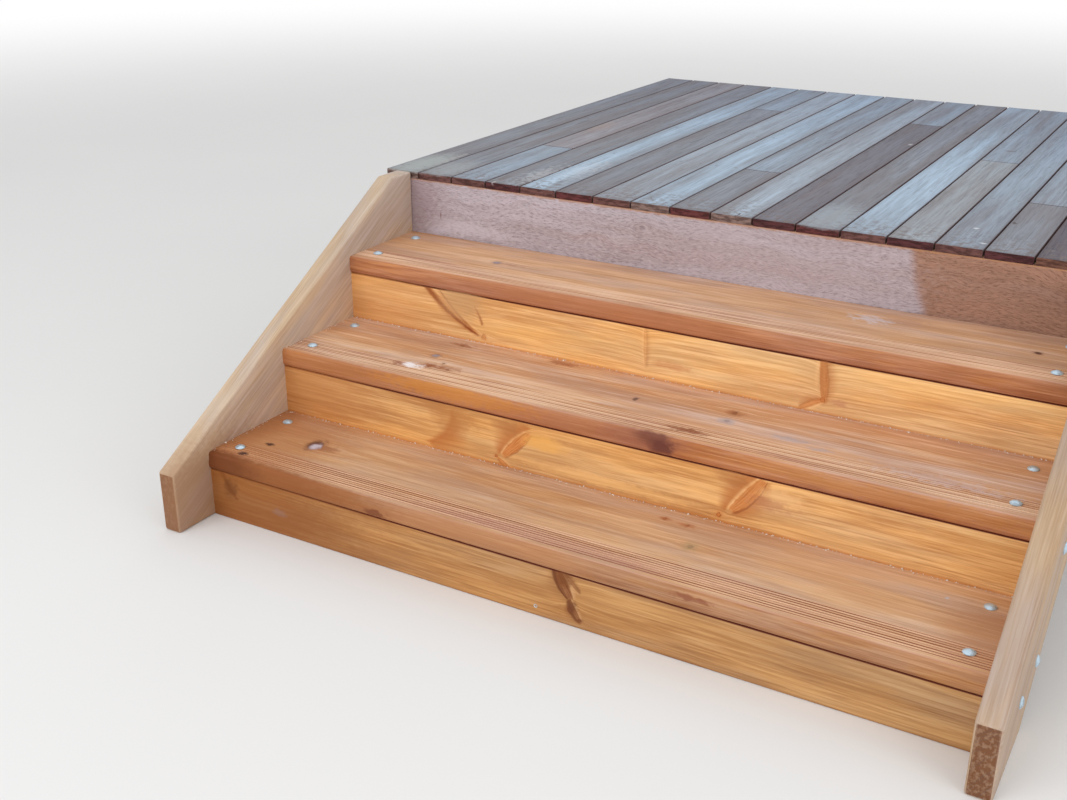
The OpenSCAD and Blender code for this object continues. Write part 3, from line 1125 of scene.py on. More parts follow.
def screw_tree() -> PieceTree:
    """Builds the tree of countersunk screws: a dished head with its drive on each point.

    Returns:
        The tree. Each point's vector attribute axis points out of the head.
    """
    screws = PieceTree("deck_screws", {"Head": 0.0085, "Sink": 0.0004, "Drive": 0.0026})
    graph, given = screws.graph, screws.given
    radius = graph.times(given["Head"], 0.5)
    disc = screws.made(
        "GeometryNodeMeshCylinder", {"Vertices": 16, "Fill Segments": 4, "Radius": radius, "Depth": 0.002})
    x, y, z = screws.place()
    dish = graph.math("LESS_THAN", graph.vector("LENGTH", graph.join(x, y, 0.0)), given["Drive"])
    dip = graph.times(graph.times(dish, graph.math("GREATER_THAN", z, 0.0)), -0.0016)
    disc = screws.moved(disc, graph.join(0.0, 0.0, dip))
    sunk = graph.minus(graph.times(given["Sink"], -1.0), 0.001)
    screws.stand(screws.moved(disc, graph.join(0.0, 0.0, sunk)))
    return screws


def sawdust_tree() -> PieceTree:
    """Builds the tree of the chips and grit that lie along the joints.

    Returns:
        The tree. Each edge of the mesh is a joint that the grains gather along.
    """
    dust = PieceTree("sawdust", {"Spacing": 0.008, "Grain": 0.0021, "Drift": 0.008, "Seed": 5})
    graph, given = dust.graph, dust.given
    path = dust.made("GeometryNodeMeshToCurve", {"Mesh": given["Geometry"]})
    points = dust.made(
        "GeometryNodeCurveToPoints", {"Curve": path, "Length": given["Spacing"]}, mode="LENGTH")
    spread = graph.times(given["Drift"], -1.0)
    jitter = dust.made("FunctionNodeRandomValue", {
        0: graph.join(spread, spread, 0.0), 1: graph.join(given["Drift"], 0.0, 0.0), "Seed": given["Seed"],
    }, data_type="FLOAT_VECTOR")
    size = graph.add("FunctionNodeRandomValue", {2: 0.25, 3: 1.0, "Seed": given["Seed"]}).outputs[1]
    turn = dust.made("FunctionNodeRandomValue", {
        0: (0.0, 0.0, 0.0), 1: (6.28, 6.28, 6.28), "Seed": given["Seed"]}, data_type="FLOAT_VECTOR")
    grain = dust.made("GeometryNodeMeshIcoSphere", {"Radius": given["Grain"], "Subdivisions": 1})
    grain = dust.made("GeometryNodeTransform", {"Geometry": grain, "Scale": (1.5, 0.8, 0.5)})
    dust.end(dust.made("GeometryNodeInstanceOnPoints", {
        "Points": dust.moved(points, jitter), "Instance": grain, "Rotation": turn,
        "Scale": graph.vector("SCALE", (1.0, 1.0, 1.0), scale=size)}))
    return dust


class Timber:
    """The shared ways of shaping a piece of timber."""

    @staticmethod
    def shade(piece: Piece, degrees: float = 38.0) -> Piece:
        """Shades a piece smooth, with its corners above an angle kept sharp.

        Args:
            piece: the object.
            degrees: the angle.

        Returns:
            The piece.
        """
        for polygon in piece.data.polygons:
            polygon.use_smooth = True
        piece.data.set_sharp_from_angle(angle=math.radians(degrees))
        return piece

    @staticmethod
    def outward(piece: Piece) -> Piece:
        """Turns a closed mesh's faces outwards and returns the piece."""
        shell = bmesh.new()
        shell.from_mesh(piece.data)
        bmesh.ops.recalc_face_normals(shell, faces=shell.faces)
        shell.to_mesh(piece.data)
        shell.free()
        return piece

    @staticmethod
    def attribute(piece: Piece, name: str, values: np.ndarray) -> None:
        """Stores one number for each corner point of a mesh."""
        layer = piece.data.attributes.new(name, "FLOAT", "POINT")
        layer.data.foreach_set("value", np.asarray(values, np.float32))


@dataclass
class Tread:
    """One reeded tread between the stringers, in metres.

    Its faces waver and its arrises have dings, both in full at more than edge from the section's middle,
    which lies that far behind the nose. Wane is how deep the nose's left end is bitten away: over wane_reach,
    then fading out over wane_fade, less than edge behind the nose and more than edge above the underside.
    """

    number: int
    bench: Bench
    material: Material
    thickness: float = TREAD / 1000.0
    nose: float = 0.008
    back: float = 0.003
    groove_count: int = 8
    groove_pitch: float = 0.008
    groove_radius: float = 0.0022
    groove_depth: float = 0.0016
    groove_start: float = 0.021
    flat: float = 0.0008
    stations: int = 151
    waver: float = 0.0005
    ding: float = 0.0022
    edge: float = 0.02
    middle: float = 0.12
    wane: float = 0.0
    wane_reach: float = 0.094
    wane_fade: float = 0.012

    def arc(self, y: float, z: float, radius: float, start: float, stop: float,
            count: int) -> list[tuple[float, float]]:
        """Returns the points of an arc of the section.

        Args:
            y: the centre's place behind the nose.
            z: the centre's height above the underside.
            radius: the arc's radius.
            start: its first angle in degrees, from the back.
            stop: its last angle.
            count: the number of its points.

        Returns:
            The points, each behind the nose and above the underside.
        """
        angles = np.radians(np.linspace(start, stop, count))
        return [(y + radius * math.cos(a), z + radius * math.sin(a)) for a in angles]

    def section(self, depth: float) -> list[tuple[float, float, float, float, float]]:
        """Works out the tread's section as one closed ring.

        Args:
            depth: the tread's depth from nose to back.

        Returns:
            Points with their place, groove, band and arris values.
        """
        top = self.thickness
        ring = [(*p, 0.0, 0.0, 1.0) for p in self.arc(self.nose, top - self.nose, self.nose, 180, 90, 8)]
        ring.append((self.nose + self.flat, top, 0.0, 0.0, 0.6))
        centre_z = top + self.groove_radius - self.groove_depth
        lean = math.degrees(math.asin((self.groove_radius - self.groove_depth) / self.groove_radius))
        ring.append((self.groove_start - 0.6 * self.groove_pitch, top, 0.0, 0.0, 0.3))
        for k in range(self.groove_count):
            y = self.groove_start + k * self.groove_pitch
            arc = self.arc(y, centre_z, self.groove_radius, 180 + lean, 360 - lean, 7)
            for point in arc:
                depth_share = (top - point[1]) / self.groove_depth
                ring.append((*point, depth_share, 1.0, 0.0))
        last = self.groove_start + (self.groove_count - 0.4) * self.groove_pitch
        for y in np.linspace(last, depth - self.back - self.flat, 9):
            ring.append((y, top, 0.0, 0.0, 0.0))
        rear = depth - self.back
        ring += [(*p, 0.0, 0.0, 0.5) for p in self.arc(rear, top - self.back, self.back, 90, 0, 4)]
        ring += [(*p, 0.0, 0.0, 0.0) for p in self.arc(rear, self.back, self.back, 0, -90, 4)]
        for y in np.linspace(depth - self.back - self.flat, self.nose + self.flat, 6):
            ring.append((y, 0.0, 0.0, 0.0, 0.0))
        ring += [(*p, 0.0, 0.0, 0.4) for p in self.arc(self.nose, self.nose, self.nose, -90, -180, 5)]
        for z in np.linspace(self.nose + self.flat, top - self.nose - self.flat, 4):
            ring.append((0.0, z, 0.0, 0.0, 0.0))
        return ring

    def build(self) -> Piece:
        """Builds the tread over its CAD node.

        Returns:
            The finished piece.
        """
        node = f"tread_{self.number}"
        low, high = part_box(node)
        ring = self.section(high.y - low.y)
        xs = np.linspace(low.x, high.x, self.stations)
        points, values = [], []
        middle = Vector((0.0, low.y + self.middle, low.z + self.thickness / 2))
        for x in xs:
            chip = self.wane * (1.0 - self.ease((x - low.x - self.wane_reach) / self.wane_fade))
            for y, z, groove, band, arris in ring:
                place = Vector((x, low.y + y, low.z + z))
                back, up = (min(max(gap / self.edge, -1.0), 1.0) for gap in (middle - place).yz)
                inward = Vector((0.0, back, up))
                sway = noise.noise(Vector((x * 7.0, y * 12.0, self.number * 9.0))) * 0.5 + 0.5
                dent = max(noise.noise(Vector((x * 60.0, y * 90.0, self.number * 5.0))) - 0.35, 0.0) * arris
                place += inward * (self.waver * sway * (0.3 + arris) + self.ding * dent)
                if chip and y < self.edge < z:
                    bite = chip * (0.55 + 0.45 * noise.noise(Vector((x * 45.0, y * 40.0, 3.0))))
                    place.y += bite * (1.0 - y / self.edge)
                    place.z -= bite * ((z - self.edge) / (self.thickness - self.edge)) * 0.9
                points.append(place)
                values.append((groove, band, arris * (1.0 - 0.8 * bool(chip))))
        size = len(ring)
        faces = []
        for i in range(self.stations - 1):
            for j in range(size):
                k = (j + 1) % size
                faces.append((i * size + j, i * size + k, (i + 1) * size + k, (i + 1) * size + j))
        faces.append(tuple(range(size)))
        faces.append(tuple(range((self.stations - 1) * size, self.stations * size)))
        piece = link_mesh(f"reeded_tread_{self.number}", points, [], faces)
        for name, column in zip(("groove", "band", "arris"), np.array(values).T):
            Timber.attribute(piece, name, column)
        piece.data.materials.append(self.material)
        Timber.shade(Timber.outward(piece), 42.0)
        return mount(piece, "tread_pine", node)

    @staticmethod
    def ease(share: float) -> float:
        """Returns a smooth 0 to 1 over a share from 0 to 1."""
        share = min(max(share, 0.0), 1.0)
        return share * share * (3.0 - 2.0 * share)


@dataclass
class Stringer:
    """One closed stringer, sawn from a raking board."""

    side: str
    material: Material
    bench: Bench
    rise: float = RISE / 1000.0
    going: float = GOING / 1000.0
    depth: float = 0.24
    over: float = 0.05
    reach: float = 0.114
    arris: float = 0.006

    def outline(self, back: float, deck: float) -> list[tuple[float, float]]:
        """Works out the stringer's side view.

        Args:
            back: where the fascia's face is, behind the bottom nose.
            deck: the height of its level top.

        Returns:
            The outline's points, each behind the bottom nose and above the ground.
        """
        slope = self.rise / self.going
        drop = self.depth / math.cos(math.atan(slope))
        start = self.rise + self.over
        return [
            (-self.reach, 0.0),
            (-self.reach, start - slope * self.reach),
            ((deck - start) / slope, deck),
            (back, deck),
            (back, start + slope * back - drop),
            ((drop - start) / slope, 0.0),
        ]

    def build(self) -> Piece:
        """Builds the stringer over its CAD node.

        Returns:
            The finished piece.
        """
        node = f"stringer_{self.side}"
        low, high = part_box(node)
        ring = self.outline(high.y - self.bench.nose, high.z)
        points = [(x, self.bench.nose + y, z) for x in (low.x, high.x) for y, z in ring]
        size = len(ring)
        faces = [tuple(range(size)), tuple(range(2 * size - 1, size - 1, -1))]
        faces += [(j, (j + 1) % size, size + (j + 1) % size, size + j) for j in range(size)]
        piece = link_mesh(f"raking_stringer_{self.side}", points, [], faces)
        Timber.outward(piece)
        bevel = piece.modifiers.new("eased_arrises", "BEVEL")
        bevel.width, bevel.segments, bevel.angle_limit = self.arris, 4, math.radians(50)
        bevel.limit_method = "ANGLE"
        harden(piece)
        piece.data.materials.clear()
        piece.data.materials.append(self.material)
        Timber.shade(piece, 30.0)
        return mount(piece, "stringer_pine", node)


class Shade(Enum):
    """The colour that weather has left on a hardwood board."""

    SILVER = (0.42, 0.545, 0.68)
    PALE = (0.395, 0.47, 0.56)
    GREY = (0.33, 0.405, 0.5)
    TAN = (0.37, 0.415, 0.465)
    PINK = (0.345, 0.34, 0.38)
    BROWN = (0.27, 0.295, 0.345)
    DARK = (0.2, 0.2, 0.24)
    DEEP = (0.13, 0.12, 0.15)


class EndGrain(Enum):
    """The colour of a hardwood board's sawn end."""

    MAROON = (0.085, 0.024, 0.027)
    RED = (0.11, 0.028, 0.028)
    BROWN = (0.14, 0.06, 0.053)
    TAN = (0.215, 0.14, 0.122)
    ORANGE = (0.165, 0.072, 0.05)


class Finishes:
    """Every timber's finish, with its knots and marks at their working places in millimetres."""

    def __init__(self, bench: Bench) -> None:
        """Holds the bench that places the knots."""
        self.bench = bench

    def knot(self, x: float, y: float, z: float, radius: float, lean: Point = (0.0, 0.0, -30.0),
             strength: float = 1.0) -> Knot:
        """Places a branch foot that starts at a surface point and leans into the board.

        Args:
            x: across the stair.
            y: behind the bottom nose.
            z: above the ground.
            radius: the branch's radius there.
            lean: the way to its inner end.
            strength: how dark it is.

        Returns:
            The knot.
        """
        at = self.bench.at
        inner = at(x + lean[0], y + lean[1], z + lean[2])
        return Knot(at(x, y, z), inner, radius / 1000.0, strength)

    def branch(self, face: float, first: tuple[float, float], last: tuple[float, float], wide: float,
               bow: float = 0.0, **strengths: float) -> Branch:
        """Places a sawn branch on a riser.

        Args:
            face: the riser's face behind the bottom nose.
            first: where the branch starts, across the stair and above the ground.
            last: where it ends.
            wide: half its width.
            bow: how far its middle bends to the right.
            strengths: how strong its heart, edge, resin and sweep are.

        Returns:
            The branch.
        """
        start, end = (self.bench.at(x, face, z) for x, z in (first, last))
        return Branch(start, end, wide / 1000.0, bow / 1000.0, **strengths)

    def mark(self, x: float, y: float, z: float, reach: Point, colour: Colour, strength: float = 0.7,
             broken: float = 0.4) -> Mark:
        """Places a stain, a splash or a patch of painted shade, its reach in millimetres each way."""
        return Mark(self.bench.at(x, y, z), tuple(r / 1000.0 for r in reach), colour, strength, broken)

    def tread(self, number: int) -> PineFinish:
        """Gives a tread its finish.

        Args:
            number: 1 at the bottom.

        Returns:
            The finish.
        """
        top, nose = RISE * number, GOING * (number - 1)

        def pick(*values: Any) -> Any:
            """Returns this tread's value from those of all three."""
            return values[number - 1]

        tones = PineTones(
            early=pick((0.705, 0.42, 0.25), (0.78, 0.535, 0.375), (0.765, 0.47, 0.31)),
            late=(0.45, 0.205, 0.095), streak=(0.59, 0.31, 0.16), film=(0.7, 0.43, 0.3),
            # arris is the colour of the painted highlight line on the nose
            knot=(0.25, 0.09, 0.045), bark=(0.07, 0.028, 0.02), arris=(0.62, 0.32, 0.23),
            rib=pick((0.84, 0.53, 0.34), (0.85, 0.59, 0.395), (0.85, 0.58, 0.4)),
            left=pick((0.93, 0.95, 0.91), (1.0, 1.0, 1.0), (1.02, 1.04, 1.04)),
            right=pick((1.03, 1.12, 1.18), (1.0, 1.0, 1.05), (0.98, 1.02, 1.06)),
            front=pick((0.76, 0.63, 0.53), (0.77, 0.56, 0.4), (0.7, 0.51, 0.41)),
            front_foot=pick((0.72, 0.58, 0.48), (0.72, 0.5, 0.38), (0.67, 0.47, 0.39)))
        knots, marks = self.tread_spots(number)
        pith = self.bench.at(0, nose + pick(210, -20, 260), top - 110)
        return PineFinish(
            f"tread_{number}_pine", tones, pith, ring=0.0065, waver=0.03,
            contrast=pick(0.4, 0.34, 0.32), streaks=pick(0.36, 0.3, 0.28), cover=0.45,
            film=0.3, seed=3.7 * number, front_height=(top - TREAD / 2) / 1000.0, knots=knots, marks=marks,
            # how dark the painted shade in this tread's grooves is
            worn=pick(0.95, 0.52, 0.34))

    def tread_spots(self, number: int) -> tuple[tuple[Knot, ...], tuple[Mark, ...]]:
        """Places a tread's knots and marks, the broad ones below the small ones.

        Args:
            number: 1 at the bottom.

        Returns:
            The knots and the marks.
        """
        top, nose = RISE * number, GOING * (number - 1)
        ruddy, blue, black = (0.34, 0.115, 0.045), (0.38, 0.35, 0.39), (0.05, 0.014, 0.014)

        def knot(x: float, y: float, radius: float, strength: float = 1.0) -> Knot:
            """Places a knot on the top, so far behind the nose."""
            return self.knot(x, nose + y, top, radius, strength=strength)

        def spot(x: float, y: float, *look: Any) -> Mark:
            """Places a mark on the top, so far behind the nose."""
            return self.mark(x, nose + y, top, *look)

        def front(x: float, drop: float, *look: Any) -> Mark:
            """Places a mark on the nose, so far below the top."""
            return self.mark(x, nose, top - drop, *look)

        knots = {
            1: (
                knot(200, 153, 14), knot(1076, 242, 4, strength=0.8), knot(1131, 238, 4, strength=0.8),
                knot(1171, 158, 7, strength=0.7),
            ),
            2: (
                knot(302, 66, 8, strength=0.9), knot(384, 91, 7, strength=0.9), knot(358, 154, 7),
                knot(404, 118, 4, strength=0.7), knot(436, 91, 4, strength=0.7),
                knot(377, 247, 4, strength=0.7), knot(1128, 192, 7, strength=0.8),
                knot(1129, 143, 5, strength=0.6),
            ),
            3: (
                knot(366, 144, 8, strength=0.8), knot(1695, 158, 6),
            ),
        }
        marks = {
            1: (
                spot(0, 150, (90, 260, 20), (0.38, 0.15, 0.06), 0.6, 0.1),
                spot(50, 120, (280, 280, 20), (0.44, 0.175, 0.062), 0.62, 0.12),
                spot(228, 156, (44, 20, 12), (0.33, 0.13, 0.06), 0.7, 0.25),
                spot(196, 158, (24, 34, 20), (0.11, 0.042, 0.028), 0.9, 0.3),
                spot(202, 151, (16, 21, 16), (0.62, 0.54, 0.6), 0.9, 0.3),
                spot(78, 36, (16, 10, 16), black, 0.9, 0.3), spot(99, 107, (16, 8, 16), black, 0.9, 0.3),
                spot(1076, 242, (16, 8, 10), (0.42, 0.14, 0.05), 0.7, 0.3),
                spot(1131, 236, (26, 9, 10), (0.42, 0.14, 0.05), 0.6, 0.3),
                spot(1171, 158, (22, 26, 16), (0.46, 0.33, 0.17), 0.5, 0.2),
                self.mark(48, 4, top - 4, (90, 26, 20), (0.19, 0.055, 0.022), 0.85, 0.12),
                front(720, 24, (380, 18, 60), (0.5, 0.235, 0.11), 0.5, 0.12),
                front(110, 24, (470, 24, 70), (0.28, 0.088, 0.022), 0.9, 0.1),
                front(1238, 17, (50, 12, 9), (0.25, 0.075, 0.04), 0.7, 0.5),
                front(10, 26, (170, 24, 60), (0.16, 0.045, 0.014), 0.8, 0.1),
                front(486, 33, (42, 12, 9), (0.19, 0.055, 0.02), 0.85, 0.4),
                spot(900, 40, (420, 26, 12), (0.42, 0.19, 0.14), 0.4, 0.3),
                spot(1790, 130, (130, 150, 10), (0.46, 0.19, 0.085), 0.45, 0.12),
                spot(1672, 221, (6, 5, 5), (0.55, 0.52, 0.54), 0.8, 0.2),
            ),
            2: (
                front(110, 24, (340, 18, 60), (0.434, 0.16, 0.052), 0.6, 0.15),
                spot(318, 68, (40, 12, 10), ruddy, 0.8, 0.6),
                spot(388, 92, (46, 13, 10), ruddy, 0.8, 0.6),
                spot(436, 100, (40, 16, 10), ruddy, 0.5, 0.8),
                spot(342, 74, (34, 18, 14), (0.88, 0.82, 0.82), 0.92, 0.6),
                spot(358, 154, (13, 10, 8), blue, 0.75, 0.2),
                spot(378, 250, (40, 12, 10), ruddy, 0.6, 0.7),
                spot(1071, 53, (56, 14, 10), (0.27, 0.085, 0.035), 0.85, 0.5),
                front(990, 16, (130, 20, 40), (0.3, 0.11, 0.075), 0.6, 0.2),
                front(1022, 10, (60, 18, 20), (0.15, 0.045, 0.03), 0.75, 0.2),
                front(1040, 27, (38, 18, 22), (0.13, 0.036, 0.028), 0.85, 0.2),
                front(700, 26, (300, 18, 44), (0.5, 0.205, 0.1), 0.45, 0.12),
                front(500, 14, (260, 14, 26), (0.6, 0.235, 0.04), 0.6, 0.35),
                front(1560, 20, (420, 14, 22), (0.54, 0.22, 0.05), 0.45, 0.35),
                spot(645, 266, (36, 13, 10), ruddy, 0.7, 0.5),
                spot(678, 264, (22, 11, 10), ruddy, 0.6, 0.5),
                spot(1128, 192, (26, 18, 10), ruddy, 0.5, 0.4),
                spot(1129, 143, (28, 20, 10), blue, 0.5, 0.4),
                spot(904, 155, (9, 11, 9), (0.13, 0.07, 0.06), 0.9, 0.3),
                spot(1610, 84, (150, 24, 8), (0.62, 0.56, 0.6), 0.3, 0.9),
                spot(1280, 120, (50, 14, 8), blue, 0.45, 0.7),
                spot(1350, 100, (34, 10, 8), blue, 0.4, 0.7),
            ),
            3: (
                front(700, 24, (420, 18, 48), (0.5, 0.2, 0.098), 0.5, 0.12),
                spot(400, 144, (50, 9, 8), ruddy, 0.5, 0.4), spot(366, 144, (14, 11, 8), blue, 0.7, 0.2),
                spot(1330, 196, (50, 26, 12), (0.68, 0.62, 0.66), 0.6, 1.0),
                spot(1400, 215, (60, 22, 8), (0.5, 0.28, 0.2), 0.5, 0.7),
                spot(1695, 158, (7, 6, 6), (0.07, 0.035, 0.03), 0.9, 0.2),
            ),
        }
        return knots[number], marks[number]

    def riser(self, number: int) -> PineFinish:
        """Gives a riser its finish.

        Args:
            number: 1 at the bottom.

        Returns:
            The finish.
        """
        early, late, streak = (
            ((0.62, 0.33, 0.15), (0.31, 0.12, 0.042), (0.48, 0.225, 0.088)),
            ((0.9, 0.49, 0.2), (0.48, 0.19, 0.058), (0.74, 0.36, 0.132)),
            ((0.96, 0.55, 0.235), (0.56, 0.235, 0.075), (0.82, 0.415, 0.155)),
        )[number - 1]
        # risers 1 and 2 darken towards their left ends: a darker stain with painted shade
        left, right = (
            ((0.88, 0.8, 0.62), (0.94, 1.03, 1.04)), ((0.9, 0.89, 0.8), (1.0, 1.1, 1.2)),
            ((1.0, 1.03, 1.0), (1.03, 1.11, 1.22)),
        )[number - 1]
        knot, bark = (0.62, 0.21, 0.05), (0.26, 0.06, 0.014)
        if number == 1:
            knot, bark = (0.23, 0.072, 0.02), (0.15, 0.042, 0.012)
        tones = PineTones(
            early=early, late=late, streak=streak, film=tuple(min(c * 1.12, 0.95) for c in early), knot=knot,
            bark=bark, arris=early, left=left, right=right)
        knots, branches, marks = self.riser_spots(number)
        pith = self.bench.at(0, self.riser_face(number) + 75, (-60, 262, 250)[number - 1])
        return PineFinish(
            f"riser_{number}_pine", tones, pith, ring=0.0075, waver=0.035, contrast=0.42, streaks=0.5,
            cover=0.5, film=0.2, side_film=0.3, gloss=0.5, seed=11.3 * number,
            # the painted shadow line under the nose above, and the painted shade at the riser's foot
            lip=(RISE * number - TREAD) / 1000.0, foot=RISE * (number - 1) / 1000.0, knots=knots,
            branches=branches, marks=marks)

    @staticmethod
    def riser_face(number: int) -> float:
        """Returns how far a riser's face lies behind the bottom nose."""
        return 4.0 + GOING * (number - 1)

    def riser_spots(self, number: int) -> tuple[tuple[Knot, ...], tuple[Branch, ...], tuple[Mark, ...]]:
        """Places a riser's knots, sawn branches and marks, the broad ones below the small ones.

        Args:
            number: 1 at the bottom.

        Returns:
            The knots, the branches and the marks.
        """
        face = self.riser_face(number)
        resin = {"line": 0.0, "heart": 0.0, "edge": 0.0, "resin": 1.0, "sweep": 0.0}

        def knot(x: float, z: float, radius: float, strength: float) -> Knot:
            """Places a knot on the face, so far above the ground."""
            return self.knot(x, face, z, radius, (0.0, 30.0, 0.0), strength)

        def branch(first: Sequence[float], last: Sequence[float], *size: float, **look: float) -> Branch:
            """Places a sawn branch on the face."""
            return self.branch(face, first, last, *size, **look)

        def spot(x: float, z: float, *look: Any) -> Mark:
            """Places a mark on the face, so far above the ground."""
            return self.mark(x, face, z, *look)

        knots = {
            1: (
                knot(979, 38, 6, 0.9), knot(1002, 20, 4, 0.8), knot(57, 77, 5, 0.6),
            ),
            2: (
                knot(626, 188, 3.5, 0.9), knot(1178, 182, 5, 0.9),
            ),
            3: (
                knot(1292, 366, 5, 0.6), knot(412, 350, 6, 0.55),
            ),
        }
        branches = {
            1: (
                branch((944, 128), (980, 62), 13, 2, line=0.006, heart=1.0, edge=0.9, resin=0.4),
                branch((1000, 84), (960, 124), 4, 0, line=0.003, heart=0.6, edge=0.3, resin=0.6),
                branch((976, 64), (1004, 14), 7, 4, line=0.007, heart=0.9, edge=0.75, resin=0.5),
                branch((36, 126), (80, 58), 5, 0, line=0.008, heart=0.3, edge=0.75, resin=0.8),
            ),
            2: (
                branch((724, 272), (636, 184), 18, 0, **resin),
                branch((642, 190), (716, 264), 13, 0, line=0.003, heart=0.95, edge=0.4, resin=0.0),
                branch((628, 184), (672, 152), 6, 0, line=0.003, heart=0.8, edge=0.3, resin=0.3),
                branch((1282, 298), (1194, 186), 18, 0, **resin),
                branch((1203, 196), (1274, 290), 15, 4, line=0.0036, heart=0.9, edge=0.6, resin=0.85,
                       sweep=0.012),
                branch((418, 190), (492, 284), 32, 0, **{**resin, "sweep": 0.004}),
            ),
            3: (
                branch((232, 472), (404, 352), 7, 9, line=0.0088, heart=0.6, edge=0.9, resin=0.85),
                branch((386, 354), (264, 470), 5, -9, line=0.0052, heart=0.35, edge=0.5, resin=0.2,
                       sweep=0.0),
                branch((407, 380), (384, 424), 4, 0, line=0.0045, heart=0.3, edge=0.55, resin=0.4),
                branch((1294, 358), (1282, 470), 10, 3, line=0.003, heart=0.85, edge=0.3, resin=0.6,
                       sweep=0.012),
                branch((1292, 364), (1240, 334), 7, 2, line=0.003, heart=0.8, edge=0.25, resin=0.6),
                branch((862, 358), (858, 460), 5, 0, line=0.005, heart=0.35, edge=0.12, resin=0.3),
            ),
        }
        marks = {
            1: (
                # darker stain with painted shade over the riser's left end
                spot(30, 60, (520, 40, 190), (0.28, 0.09, 0.02), 0.75, 0.1),
                spot(62, 84, (26, 12, 34), (0.15, 0.048, 0.014), 0.6, 0.5),
                spot(962, 108, (24, 12, 24), (0.18, 0.05, 0.01), 0.75, 0.4),
                spot(984, 44, (14, 12, 20), (0.15, 0.046, 0.014), 0.7, 0.4),
                spot(206, 56, (26, 12, 11), (0.25, 0.19, 0.2), 0.25, 0.5),
            ),
            2: (
                # darker stain with painted shade over the riser's left end
                spot(0, 230, (330, 30, 150), (0.52, 0.2, 0.06), 0.55, 0.1),
                spot(506, 252, (80, 12, 40), (0.48, 0.2, 0.06), 0.6, 0.25),
                spot(655, 264, (48, 12, 24), (0.43, 0.175, 0.062), 0.55, 0.3),
                spot(1204, 274, (46, 12, 26), (0.42, 0.165, 0.055), 0.55, 0.3),
                spot(1288, 234, (58, 12, 20), (0.52, 0.235, 0.12), 0.55, 0.5),
                spot(752, 246, (70, 12, 22), (0.88, 0.46, 0.12), 0.7, 0.2),
                spot(1310, 258, (60, 12, 16), (0.92, 0.56, 0.26), 0.6, 0.2),
                spot(900, 190, (260, 20, 16), (0.98, 0.58, 0.22), 0.5, 0.2),
            ),
            3: (
                spot(0, 400, (300, 30, 150), (0.72, 0.32, 0.11), 0.5, 0.1),
                spot(930, 372, (60, 8, 12), (0.62, 0.25, 0.09), 0.5, 0.4),
                spot(346, 430, (80, 20, 60), (0.56, 0.31, 0.14), 0.75, 0.12),
                spot(1328, 364, (24, 8, 8), (0.48, 0.19, 0.11), 0.5, 0.4),
                spot(1290, 420, (17, 12, 66), (0.43, 0.165, 0.05), 0.5, 0.3),
            ),
        }
        return knots[number], branches[number], marks[number]

    def stringer(self, side: str) -> PineFinish:
        """Gives a stringer its finish.

        Args:
            side: left or right.

        Returns:
            The finish.
        """
        pitch = math.atan(RISE / GOING)
        left = side == "left"
        age = (1.04, 1.12, 1.2) if left else (0.88, 0.89, 0.9)
        tones = PineTones(
            early=(0.6, 0.435, 0.32), late=(0.4, 0.245, 0.145), streak=(0.53, 0.36, 0.24),
            film=(0.64, 0.48, 0.36), knot=(0.26, 0.12, 0.065), bark=(0.1, 0.05, 0.035),
            arris=(0.7, 0.48, 0.33), end_grain=(0.165, 0.052, 0.014), left=age, right=age)
        x = self.bench.left + (-0.15 if left else 2.0)
        marks = (self.mark(0, -40, 40, (90, 300, 220), (0.3, 0.14, 0.065), 0.7, 0.1),) if left else ()
        return PineFinish(
            f"stringer_{side}_pine", tones, (0.0, x, 0.6), ring=0.006, waver=0.04, contrast=0.22,
            streaks=0.16, cover=0.5, film=0.5, side_film=0.4, run=Run.INWARD, pitch=-pitch,
            seed=21.0 if left else 29.0, marks=marks)

    def framing(self, run: Run) -> PineFinish:
        """Gives the deck's hidden frame its treated pine.

        Args:
            run: the axis that the timbers lie along.

        Returns:
            The finish.
        """
        tones = PineTones(
            early=(0.5, 0.42, 0.25), late=(0.28, 0.205, 0.105), streak=(0.42, 0.33, 0.18),
            film=(0.43, 0.38, 0.26), knot=(0.19, 0.11, 0.055), bark=(0.08, 0.05, 0.035),
            arris=(0.52, 0.44, 0.28), end_grain=(0.33, 0.255, 0.135))
        return PineFinish(
            f"frame_pine_{run.name.lower()}", tones, (0.0, 0.05, 0.25), ring=0.007, contrast=0.5, run=run,
            seed=41.0 + run.value)

